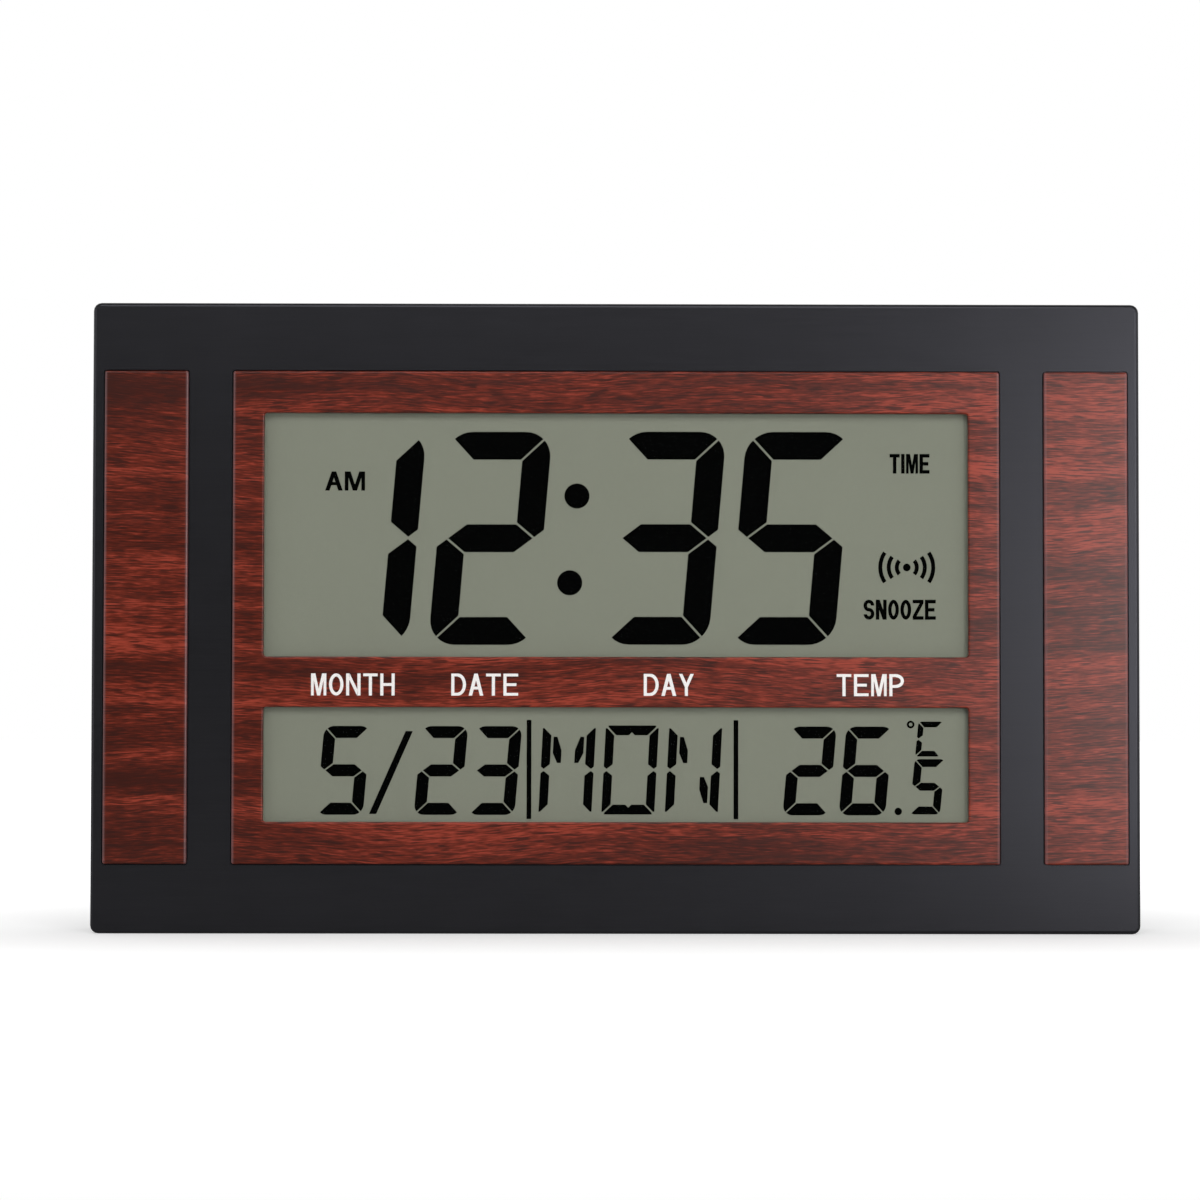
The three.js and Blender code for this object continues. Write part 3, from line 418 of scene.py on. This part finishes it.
def show_snooze_mark():
    pieces = [disc(snooze_dot_radius)]
    for radius, spread in sound_arcs:
        for side in (-1, 1):
            pieces.append(sound_arc(radius, math.radians(spread), side))
    show(joined("snooze_mark", pieces), *snooze_place)


show_colon()
show_degree()
for name, x in divider_places.items():
    show_bar(name, divider_width, divider_height, 0.0, divider_corner, (x, divider_row))
show_bar("date_slash", slash_width, slash_height, slash_lean, slash_corner, slash_place)
show_point()
show_snooze_mark()

# Plain capital letters, cut from plates that meet edge to edge. Their sizes are in millimetres.
# The proportions are shares of the stroke, the width or the height of a letter.
slant_width = 1.12
bowl_start = 0.45
p_bowl_low = 0.38
a_bar_low = 0.28
e_bar_end = 0.88
y_fork = 0.42
s_upper_end, s_lower_end = 0.71, 0.27


def placed(plate, low, high):
    """Moves a plate from the origin to the middle between two corners."""
    plate.location = ((low[0] + high[0]) / 2 * mm, 0, (low[1] + high[1]) / 2 * mm)
    settle(plate)
    return plate


def cut(plate, lines):
    """Trims a plate along lines, each with a point, its outward way and its lean."""
    edit(plate)
    for (x, z), outward, lean in lines:
        trim((x * mm, z * mm), outward, lean)
    leave()
    return plate


def right_of(x):
    return (x, 0), (-1, 0), 0


def left_of(x):
    return (x, 0), (1, 0), 0


def straight(low, high):
    return placed(upright_plate((high[0] - low[0]) * mm, (high[1] - low[1]) * mm), low, high)


def slanted(foot, head, across, left, right):
    """A leaning bar from the middle of its foot to that of its head, kept between two upright lines."""
    lean = (head[0] - foot[0]) / (head[1] - foot[1])
    plate = leaning_plate(across * mm, (head[1] - foot[1]) * mm, lean)
    leave()
    return cut(placed(plate, foot, head), [right_of(left), left_of(right)])


def oval(low, high, stroke, lines=()):
    """The rim of an oval between two corners, trimmed along lines."""
    plate = disc(0.5)
    plate.scale = (high[0] - low[0], 1, high[1] - low[1])
    settle(plate)
    hollow(plate, stroke)
    return cut(placed(plate, low, high), lines)


def capital(character, width, height, style):
    """The plates of a plain capital letter, with its low left corner on the origin. Its uprights and its
    level bars each have a thickness of their own."""
    stroke = style["m_stroke"] if character == "M" else style["stroke"]
    thin = style["level"]
    middle = width / 2
    last = width - stroke
    top = height - thin
    waist = top / 2
    across = slant_width * stroke
    half = across / 2

    def post(x=0.0, head=height):
        return straight((x, 0), (x + stroke, head))

    def level(z, left=stroke, right=width):
        return straight((left, z), (right, z + thin))

    def bowl(low):
        turn = bowl_start * width
        round_end = oval((2 * turn - width, low), (width, height), stroke, [right_of(turn)])
        return [level(low, right=turn), level(top, right=turn), round_end]

    if character == "A":
        lean = (middle - half) / height
        bar = cut(level(a_bar_low * height, 0, width), [
            ((across, 0), (-1, 0), lean),
            ((width - across, 0), (1, 0), -lean),
        ])
        left = slanted((half, 0), (middle, height), across, 0, middle)
        right = slanted((width - half, 0), (middle, height), across, middle, width)
        return [left, right, bar]
    if character == "D":
        return [post()] + bowl(0)
    if character == "E":
        return [post(), level(0), level(waist, right=e_bar_end * width), level(top)]
    if character == "H":
        return [post(), post(last), level(waist, right=last)]
    if character == "I":
        return [post()]
    if character == "M":
        left = slanted((middle, 0), (stroke, height), across, stroke, middle)
        right = slanted((middle, 0), (last, height), across, middle, last)
        return [post(), post(last), left, right]
    if character == "N":
        return [post(), post(last), slanted((width - half, 0), (half, height), across, stroke, last)]
    if character == "O":
        return [oval((0, 0), (width, height), stroke)]
    if character == "P":
        return [post()] + bowl(p_bowl_low * height)
    if character == "S":
        upper = (0, waist), (width, height), stroke
        lower = (0, 0), (width, waist + thin), stroke
        upper_end = (0, s_upper_end * height), (0, -1), 0
        lower_end = (0, s_lower_end * height), (0, 1), 0
        return [
            oval(*upper, [left_of(middle)]),
            oval(*upper, [right_of(middle), upper_end]),
            oval(*lower, [right_of(middle)]),
            oval(*lower, [left_of(middle), lower_end]),
        ]
    if character == "T":
        return [post(middle - stroke / 2, top), level(top, 0)]
    if character == "Y":
        fork = y_fork * height
        left = slanted((middle, fork), (half, height), across, 0, middle)
        right = slanted((middle, fork), (width - half, height), across, middle, width)
        return [post(middle - stroke / 2, fork), left, right]
    if character == "Z":
        return [level(0, 0), level(top, 0), slanted((half, thin), (width - half, top), across, 0, width)]
    raise ValueError("no plates for " + character)


def word(name, text, low, high, style):
    """A flat word that fills the box between two corners, with its low left corner on the origin. The I is
    one stroke wide, and the other letters share the room that is left."""
    shares = [style["m_width"] if character == "M" else 1.0 for character in text if character != "I"]
    room = high[0] - low[0] - style["gap"] * (len(text) - 1) - style["stroke"] * text.count("I")
    unit = room / sum(shares)
    widths = {"I": style["stroke"], "M": unit * style["m_width"]}
    plates = []
    x = 0.0
    for character in text:
        width = widths.get(character, unit)
        for plate in capital(character, width, high[1] - low[1], style):
            plate.location.x = x * mm
            settle(plate)
            plates.append(plate)
        x += width + style["gap"]
    return joined(name, plates)


# Words of the display, and the four that are printed on the middle rail
am_style = {"stroke": 0.98, "level": 0.8, "gap": 0.5, "m_stroke": 0.92, "m_width": 1.15}
sign_style = {"stroke": 0.87, "level": 0.87, "gap": 0.36, "m_stroke": 0.64, "m_width": 1.2}
rail_style = {"stroke": 0.77, "level": 0.7, "gap": 0.66, "m_stroke": 0.68, "m_width": 1.06}
rail_low, rail_high = 58.87, 64.33
display_words = [
    ("word_am", "AM", (-72.4, 109.82), (-62.47, 114.57), am_style),
    ("word_time", "TIME", (68.07, 114.3), (78.0, 119.17), sign_style),
    ("word_snooze", "SNOOZE", (61.52, 77.9), (79.5, 82.85), sign_style),
]
rail_words = [
    ("word_month", "MONTH", -75.5, -54.8),
    ("word_date", "DATE", -40.8, -24.25),
    ("word_day", "DAY", 6.85, 19.25),
    ("word_temp", "TEMP", 54.65, 71.3),
]
for name, text, low, high, style in display_words:
    show(word(name, text, low, high, style), *low)
printed_words = []
for name, text, left, right in rail_words:
    sign = word(name, text, (left, rail_low), (right, rail_high), rail_style)
    thicken(sign, print_depth)
    sign.location = (left * mm, bezel_front, rail_low * mm)
    settle(sign)
    printed_words.append(sign)


# Shader nodes
def new_finish(name):
    material = bpy.data.materials.new(name)
    material.use_nodes = True
    tree = material.node_tree
    return material, tree, tree.nodes["Principled BSDF"]


def node(tree, kind, inputs=None, **settings):
    """A shader node with its settings, and with each input set to a value or linked to a socket."""
    made = tree.nodes.new("ShaderNode" + kind)
    for key, value in settings.items():
        setattr(made, key, value)
    for key, value in (inputs or {}).items():
        link(tree, value, made.inputs[key])
    return made


def link(tree, value, socket):
    if isinstance(value, bpy.types.NodeSocket):
        tree.links.new(value, socket)
    else:
        socket.default_value = value


def stretched_noise(tree, vector, scale, detail=2.0, roughness=0.5, place=(0, 0, 0)):
    """Noise with its own scale along each axis, in repeats per metre."""
    mapped = node(tree, "Mapping", {"Vector": vector, "Scale": scale, "Location": place})
    inputs = {"Vector": mapped.outputs[0], "Scale": 1.0, "Detail": detail, "Roughness": roughness}
    return node(tree, "TexNoise", inputs).outputs["Fac"]


def object_place(tree):
    return node(tree, "TexCoord").outputs["Object"]


def math_node(tree, operation, first, second=0.0, third=0.0):
    made = node(tree, "Math", operation=operation)
    for socket, value in zip(made.inputs, (first, second, third)):
        link(tree, value, socket)
    return made.outputs[0]


def blend_even(tree, first, second):
    """The mean of two values."""
    return math_node(tree, "MULTIPLY_ADD", first, 0.5, math_node(tree, "MULTIPLY", second, 0.5))


def spread_value(tree, value, low, high, to_low=0.0, to_high=1.0):
    made = node(
        tree,
        "MapRange",
        {"Value": value, "From Min": low, "From Max": high, "To Min": to_low, "To Max": to_high},
    )
    return made.outputs[0]


def mix_colour(tree, share, first, second):
    made = node(tree, "Mix", data_type="RGBA")
    link(tree, share, made.inputs[0])
    link(tree, first, made.inputs[6])
    link(tree, second, made.inputs[7])
    return made.outputs[2]


def ramp(tree, value, stops):
    made = node(tree, "ValToRGB", {"Fac": value})
    points = made.color_ramp.elements
    while len(points) < len(stops):
        points.new(0.5)
    for point, (place, colour) in zip(points, stops):
        point.position = place
        point.color = (*colour, 1)
    return made.outputs[0]


# Most finishes run from one colour to another over the middle of their noise
noise_low, noise_high = 0.3, 0.7


def two_tones(tree, value, low, high):
    return ramp(tree, value, [(noise_low, low), (noise_high, high)])


def bump(tree, shader, height, strength, distance):
    made = node(tree, "Bump", {"Height": height, "Strength": strength, "Distance": distance})
    tree.links.new(made.outputs[0], shader.inputs["Normal"])


# Wood film: its colours, the share of each noise in its tone, and how far the figure lifts the grain
wood_dark = (0.04, 0.0046, 0.0012)
wood_brown = (0.074, 0.0082, 0.0024)
wood_red = (0.145, 0.0175, 0.007)
wood_light = (0.3, 0.042, 0.022)
wood_pore = (0.028, 0.0042, 0.0016, 1)
# Painted highlight: the pale colour of the line painted along the upright edges of the panels
wood_painted_highlight = (0.22, 0.125, 0.13, 1)
band_share, streak_share, fibre_share = 1.25, 0.6, 0.95
# Painted light: the wood is painted lighter towards the right, where more light falls
painted_light_to_the_right = 0.35
tone_low, tone_high = 1.14, 1.62
pore_low, pore_high, pore_share = 0.55, 0.61, 0.8
slow_lift, wavy_lift = 13 * mm, 1.2 * mm
# Width and strength of the painted highlight along the upright panel edges, measured in from the edge
highlight_inner, highlight_outer, highlight_share = 0.3 * mm, 0.8 * mm, 0.4


def painted_edge_highlight(tree, x):
    """Share of the painted highlight: a pale line painted along the upright edges of the panels, standing
    in for the light their rounded edges catch.
    """
    strip_low, strip_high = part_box("wood_strip_right")
    bezel_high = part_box("wood_bezel")[1]
    beside = math_node(tree, "ABSOLUTE", x)
    nearest = 1.0
    for edge in (bezel_high.x, strip_low.x, strip_high.x):
        gap = math_node(tree, "ABSOLUTE", math_node(tree, "SUBTRACT", beside, edge))
        nearest = math_node(tree, "MINIMUM", gap, nearest)
    return spread_value(tree, nearest, highlight_inner, highlight_outer, highlight_share, 0.0)


def wood_grain_finish():
    """Printed film of red-brown wood: level streaks, short dark pores, slow bands and a little figure, with
    a painted highlight along the upright panel edges and painted light towards the right.
    """
    material, tree, shader = new_finish("wood_grain")
    place = object_place(tree)
    apart = node(tree, "SeparateXYZ", {"Vector": place}).outputs
    slow = stretched_noise(tree, place, (9, 1, 13), detail=1.0, place=(1.7, 0, 4.2))
    wavy = stretched_noise(tree, place, (60, 1, 80), detail=1.0)
    lift = math_node(tree, "MULTIPLY_ADD", slow, slow_lift, apart["Z"])
    lift = math_node(tree, "MULTIPLY_ADD", wavy, wavy_lift, lift)
    bent = node(tree, "CombineXYZ", {"X": apart["X"], "Y": 0.0, "Z": lift}).outputs[0]
    bands = stretched_noise(tree, bent, (7, 1, 105), place=(20.55, 0, 43.65))
    streaks = stretched_noise(tree, bent, (45, 1, 700), detail=3.0, roughness=0.6)
    fibres = stretched_noise(tree, bent, (230, 1, 2900), roughness=0.6)
    pores = stretched_noise(tree, bent, (150, 1, 2400), detail=1.0, place=(3.1, 0, 7.7))
    tone = math_node(tree, "MULTIPLY", bands, band_share)
    tone = math_node(tree, "MULTIPLY_ADD", streaks, streak_share, tone)
    tone = math_node(tree, "MULTIPLY_ADD", fibres, fibre_share, tone)
    # Painted light: the tone rises towards the right
    tone = math_node(tree, "MULTIPLY_ADD", apart["X"], painted_light_to_the_right, tone)
    tone = spread_value(tree, tone, tone_low, tone_high)
    colour = ramp(tree, tone, [(0.0, wood_dark), (0.33, wood_brown), (0.64, wood_red), (1.0, wood_light)])
    pore = math_node(tree, "MULTIPLY", spread_value(tree, pores, pore_low, pore_high), pore_share)
    colour = mix_colour(tree, pore, colour, wood_pore)
    # Painted highlight along the upright edges of the panels
    colour = mix_colour(tree, painted_edge_highlight(tree, apart["X"]), colour, wood_painted_highlight)
    tree.links.new(colour, shader.inputs["Base Color"])
    uneven = spread_value(tree, streaks, 0.2, 0.8, to_low=0.33, to_high=0.27)
    tree.links.new(uneven, shader.inputs["Roughness"])
    shader.inputs["Specular IOR Level"].default_value = 0.3
    bump(tree, shader, fibres, strength=0.12, distance=0.05 * mm)
    return material


# Finishes of the other pieces
def satin_black_finish():
    """Charcoal moulding of the front case, with a very fine level hairline in it."""
    material, tree, shader = new_finish("black_satin")
    place = object_place(tree)
    hairline = stretched_noise(tree, place, (90, 900, 3600))
    cloud = stretched_noise(tree, place, (60, 60, 60), detail=3.0)
    tone = blend_even(tree, hairline, cloud)
    colour = two_tones(tree, tone, (0.0076, 0.0076, 0.0082), (0.0108, 0.0108, 0.0118))
    tree.links.new(colour, shader.inputs["Base Color"])
    uneven = spread_value(tree, hairline, 0.25, 0.75, to_low=0.28, to_high=0.32)
    tree.links.new(uneven, shader.inputs["Roughness"])
    shader.inputs["Specular IOR Level"].default_value = 0.3
    shader.inputs["Specular Tint"].default_value = (0.87, 0.87, 1.0, 1)
    bump(tree, shader, hairline, strength=0.05, distance=0.04 * mm)
    return material


def textured_plastic_finish(name, low, high, roughness, grain=3200):
    """Moulded plastic with a fine spark-eroded texture, duller in its pits."""
    material, tree, shader = new_finish(name)
    place = object_place(tree)
    pits = stretched_noise(tree, place, (grain, grain, grain))
    cloud = stretched_noise(tree, place, (35, 35, 35), detail=3.0)
    tone = blend_even(tree, pits, cloud)
    tree.links.new(two_tones(tree, tone, low, high), shader.inputs["Base Color"])
    duller, glossier = roughness + 0.06, roughness - 0.06
    uneven = spread_value(tree, pits, noise_low, noise_high, duller, glossier)
    tree.links.new(uneven, shader.inputs["Roughness"])
    bump(tree, shader, pits, strength=0.25, distance=0.06 * mm)
    return material


def film_finish():
    """Grey-green polarising film, matte and even, with the faintest cloud in it."""
    material, tree, shader = new_finish("lcd_film")
    place = object_place(tree)
    speck = stretched_noise(tree, place, (2600, 2600, 2600), detail=1.0)
    cloud = stretched_noise(tree, place, (25, 25, 25))
    tone = blend_even(tree, speck, cloud)
    colour = two_tones(tree, tone, (0.210, 0.222, 0.174), (0.222, 0.235, 0.184))
    tree.links.new(colour, shader.inputs["Base Color"])
    shader.inputs["Roughness"].default_value = 0.75
    shader.inputs["Specular IOR Level"].default_value = 0.15
    return material


def ink_finish(name, low, high, roughness):
    material, tree, shader = new_finish(name)
    speck = stretched_noise(tree, object_place(tree), (4000, 4000, 4000), detail=1.0)
    tree.links.new(two_tones(tree, speck, low, high), shader.inputs["Base Color"])
    shader.inputs["Roughness"].default_value = roughness
    shader.inputs["Specular IOR Level"].default_value = 0.0
    return material


def clear_finish(name, alpha):
    """Clear acrylic or glass: nearly nothing but its gloss is seen."""
    material, tree, shader = new_finish(name)
    wipe = stretched_noise(tree, object_place(tree), (60, 60, 60), detail=3.0)
    shader.inputs["Base Color"].default_value = (0.03, 0.035, 0.033, 1)
    uneven = spread_value(tree, wipe, noise_low, noise_high, to_low=0.03, to_high=0.07)
    tree.links.new(uneven, shader.inputs["Roughness"])
    shader.inputs["Alpha"].default_value = alpha
    return material


def metal_finish(name, low, high, roughness):
    material, tree, shader = new_finish(name)
    brush = stretched_noise(tree, object_place(tree), (900, 900, 120), detail=3.0)
    tree.links.new(two_tones(tree, brush, low, high), shader.inputs["Base Color"])
    uneven = spread_value(tree, brush, noise_low, noise_high, roughness, roughness + 0.12)
    tree.links.new(uneven, shader.inputs["Roughness"])
    shader.inputs["Metallic"].default_value = 1.0
    return material


def cell_finish(name):
    """Plain blue jacket between two bare metal ends."""
    low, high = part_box(name)
    bare_end = 2.5 * mm
    material, tree, shader = new_finish(name + "_finish")
    place = object_place(tree)
    x = node(tree, "SeparateXYZ", {"Vector": place}).outputs["X"]
    after = math_node(tree, "GREATER_THAN", x, low.x + bare_end)
    before = math_node(tree, "LESS_THAN", x, high.x - bare_end)
    jacket = math_node(tree, "MULTIPLY", after, before)
    scuff = stretched_noise(tree, place, (300, 900, 900), detail=4.0)
    blue = two_tones(tree, scuff, (0.02, 0.055, 0.14), (0.03, 0.075, 0.18))
    steel = two_tones(tree, scuff, (0.5, 0.5, 0.5), (0.65, 0.65, 0.64))
    tree.links.new(mix_colour(tree, jacket, steel, blue), shader.inputs["Base Color"])
    tree.links.new(spread_value(tree, jacket, 0, 1, to_low=1.0, to_high=0.15), shader.inputs["Metallic"])
    uneven = spread_value(tree, scuff, noise_low, noise_high, to_low=0.28, to_high=0.4)
    tree.links.new(uneven, shader.inputs["Roughness"])
    return material


def zebra_finish():
    """Pink elastomer with narrow black conducting stripes."""
    stripe_width = 0.1 * mm
    material, tree, shader = new_finish("zebra_rubber")
    x = node(tree, "SeparateXYZ", {"Vector": object_place(tree)}).outputs["X"]
    stripe = math_node(tree, "PINGPONG", x, 2 * stripe_width)
    black = math_node(tree, "LESS_THAN", stripe, stripe_width)
    colour = mix_colour(tree, black, (0.4, 0.14, 0.2, 1), (0.01, 0.01, 0.01, 1))
    tree.links.new(colour, shader.inputs["Base Color"])
    shader.inputs["Roughness"].default_value = 0.7
    return material


finishes = {
    "black_plastic": textured_plastic_finish(
        "black_textured", low=(0.0065, 0.0065, 0.007), high=(0.0105, 0.0105, 0.0112), roughness=0.52
    ),
    "wood_grain": wood_grain_finish(),
    "lens_clear": clear_finish("lens_clear", alpha=0.02),
    "lcd_grey": film_finish(),
    "lcd_glass": clear_finish("lcd_glass", alpha=0.2),
    "reflector_film": textured_plastic_finish(
        "reflector_film", low=(0.44, 0.44, 0.42), high=(0.5, 0.5, 0.48), roughness=0.4
    ),
    "grey_plastic": textured_plastic_finish(
        "grey_plastic", low=(0.06, 0.06, 0.065), high=(0.075, 0.075, 0.08), roughness=0.5
    ),
    "zebra_rubber": zebra_finish(),
    "board_green": textured_plastic_finish(
        "board_green", low=(0.008, 0.07, 0.025), high=(0.014, 0.1, 0.04), roughness=0.35, grain=900
    ),
    "epoxy_black": textured_plastic_finish(
        "epoxy_black", low=(0.004, 0.004, 0.0045), high=(0.007, 0.007, 0.0075), roughness=0.3, grain=1200
    ),
    "key_grey": textured_plastic_finish(
        "key_grey", low=(0.034, 0.034, 0.038), high=(0.046, 0.046, 0.05), roughness=0.5
    ),
    "steel": metal_finish("steel", low=(0.42, 0.42, 0.41), high=(0.6, 0.6, 0.59), roughness=0.28),
    "contact_brass": metal_finish(
        "contact_brass", low=(0.5, 0.33, 0.1), high=(0.65, 0.45, 0.17), roughness=0.3
    ),
    "sheath_red": textured_plastic_finish(
        "sheath_red", low=(0.3, 0.012, 0.012), high=(0.36, 0.018, 0.016), roughness=0.45
    ),
    "sheath_black": textured_plastic_finish(
        "sheath_black", low=(0.006, 0.006, 0.006), high=(0.01, 0.01, 0.01), roughness=0.45
    ),
}
lit_ink = ink_finish("lit_ink", low=(0.0001, 0.0001, 0.0001), high=(0.0003, 0.0003, 0.0003), roughness=0.9)
white_ink = ink_finish("white_ink", low=(0.78, 0.76, 0.74), high=(0.9, 0.88, 0.86), roughness=0.6)


def paint(piece, material):
    piece.data.materials.clear()
    piece.data.materials.append(material)


slots = {part["node"]: part["material_slot"] for part in frame["record"]["subparts"]}
for name, solid in nodes.items():
    if slots[name] == "cell_jacket":
        paint(solid, cell_finish(name))
    else:
        paint(solid, finishes[slots[name]])
paint(nodes["front_case"], satin_black_finish())
for sign in lit_signs:
    paint(sign, lit_ink)
for sign in printed_words:
    paint(sign, white_ink)
for sign in lit_signs + printed_words:
    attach(sign, "clock_body")

# Shading of the solids: triangles are merged, flat faces stay flat and rounds run smooth
weld_gap = 0.0005 * mm
crease_angle = math.radians(32)


def smooth_rounds(solid):
    for face in solid.data.polygons:
        face.use_smooth = True
    weld = solid.modifiers.new("merge", "WELD")
    weld.merge_threshold = weld_gap
    split = solid.modifiers.new("keep_edges", "EDGE_SPLIT")
    split.split_angle = crease_angle
    split.use_edge_sharp = False
    even = solid.modifiers.new("flat_faces", "WEIGHTED_NORMAL")
    even.weight = 100
    even.keep_sharp = True


for solid in nodes.values():
    smooth_rounds(solid)

# Studio floor: its size and place in metres, the half sizes of the clock's foot, how far the floor darkens
# round the foot, and how strongly it glows at the foot and further off
floor_size = 5
floor_place = (0, 2.05, -0.05 * mm)
clock_foot = (0.12, 0.01, 0)
shadow_reach = 0.2
glow_at_foot, glow_far = 0.42, 0.95
mirror_reach = 0.1

# World: its strength in front of the clock, and behind and beside it
front_strength, back_strength = 0.04, 0.6


def background_glow(tree, behind):
    """One for camera and see-through rays, and for mirror rays only as far as they look behind the
    clock."""
    path = node(tree, "LightPath").outputs
    seen = math_node(tree, "MAXIMUM", path["Is Camera Ray"], path["Is Transmission Ray"])
    return math_node(tree, "MAXIMUM", seen, math_node(tree, "MULTIPLY", path["Is Glossy Ray"], behind))


def studio_floor():
    """Pale floor with a soft shadow at the foot of the clock, and white further off, so that no edge
    shows."""
    bpy.ops.object.select_all(action="DESELECT")
    bpy.ops.mesh.primitive_plane_add(size=floor_size, location=floor_place)
    floor = bpy.context.object
    floor.name = "studio_floor"
    settle(floor)
    material, tree, shader = new_finish("studio_floor")
    place = object_place(tree)
    speck = stretched_noise(tree, place, (40, 40, 40))
    colour = two_tones(tree, speck, (0.69, 0.69, 0.69), (0.71, 0.71, 0.71))
    tree.links.new(colour, shader.inputs["Base Color"])
    shader.inputs["Roughness"].default_value = 0.9
    shader.inputs["Specular IOR Level"].default_value = 0.0
    shader.inputs["Emission Color"].default_value = (1, 1, 1, 1)
    y = node(tree, "SeparateXYZ", {"Vector": place}).outputs["Y"]
    apart = node(tree, "VectorMath", {0: place}, operation="ABSOLUTE").outputs[0]
    apart = node(tree, "VectorMath", {0: apart, 1: clock_foot}, operation="SUBTRACT").outputs[0]
    apart = node(tree, "VectorMath", {0: apart, 1: (0, 0, 0)}, operation="MAXIMUM").outputs[0]
    reach = node(tree, "VectorMath", {0: apart}, operation="LENGTH").outputs["Value"]
    glow = background_glow(tree, spread_value(tree, y, 0.0, mirror_reach))
    paler = spread_value(tree, reach, 0.0, shadow_reach, glow_at_foot, glow_far)
    tree.links.new(math_node(tree, "MULTIPLY", glow, paler), shader.inputs["Emission Strength"])
    paint(floor, material)


def studio_world():
    """White behind the clock and dim in front of it, and all white where the camera looks past the
    clock."""
    world = bpy.data.worlds.new("studio_world")
    bpy.context.scene.world = world
    world.use_nodes = True
    tree = world.node_tree
    background = tree.nodes["Background"]
    way = node(tree, "SeparateXYZ", {"Vector": node(tree, "TexCoord").outputs["Generated"]}).outputs
    behind = spread_value(tree, way["Y"], -0.25, 0.35)
    beside = spread_value(tree, math_node(tree, "ABSOLUTE", way["X"]), 0.6, 0.9)
    around = math_node(tree, "MAXIMUM", behind, beside)
    light = spread_value(tree, around, 0, 1, front_strength, back_strength)
    strength = math_node(tree, "MAXIMUM", background_glow(tree, around), light)
    tree.links.new(strength, background.inputs["Strength"])
    background.inputs["Color"].default_value = (1, 1, 1, 1)


def lamp(name, place, size, strength):
    """A rectangular lamp that faces the middle of the clock. Its strength is its brightness at any size."""
    data = bpy.data.lights.new(name, "AREA")
    data.shape = "RECTANGLE"
    data.size, data.size_y = size
    data.energy = strength * math.pi * size[0] * size[1]
    light = bpy.data.objects.new(name, data)
    bpy.context.scene.collection.objects.link(light)
    light.location = place
    way = Vector(clock_middle) - Vector(place)
    light.rotation_euler = way.to_track_quat("-Z", "Y").to_euler()
    light.visible_camera = False


clock_middle = (0, 0, 0.078)
studio_floor()
studio_world()
lamp("top_lamp", place=(0, -1.1, 0.77), size=(1.0, 0.6), strength=4.5)
lamp("left_lamp", place=(-0.85, -0.75, 0.2), size=(0.45, 0.6), strength=1.8)
lamp("far_right_lamp", place=(0.85, -0.75, 0.2), size=(0.45, 0.6), strength=1.5)
lamp("right_lamp", place=(0.4, -0.85, 0.115), size=(0.28, 0.29), strength=10.0)

# Camera at the photograph's angle, in metres and degrees
camera_place = (-0.00858, -0.83902, 0.05627)
camera_turns = (-0.317, 1.827, -0.078)
camera_data = bpy.data.cameras.new("photo_camera")
camera = bpy.data.objects.new("photo_camera", camera_data)
bpy.context.scene.collection.objects.link(camera)
bpy.context.scene.camera = camera
camera_data.lens = 100
camera_data.sensor_width = 36
camera_data.clip_start = 0.01
camera.location = camera_place
yaw, pitch, roll = (math.radians(angle) for angle in camera_turns)
turn = Matrix.Rotation(yaw, 3, "Z") @ Matrix.Rotation(pitch, 3, "X") @ Matrix.Rotation(roll, 3, "Y")
camera.rotation_euler = (turn @ Matrix.Rotation(math.pi / 2, 3, "X")).to_euler()
bpy.context.scene.view_settings.view_transform = "Standard"
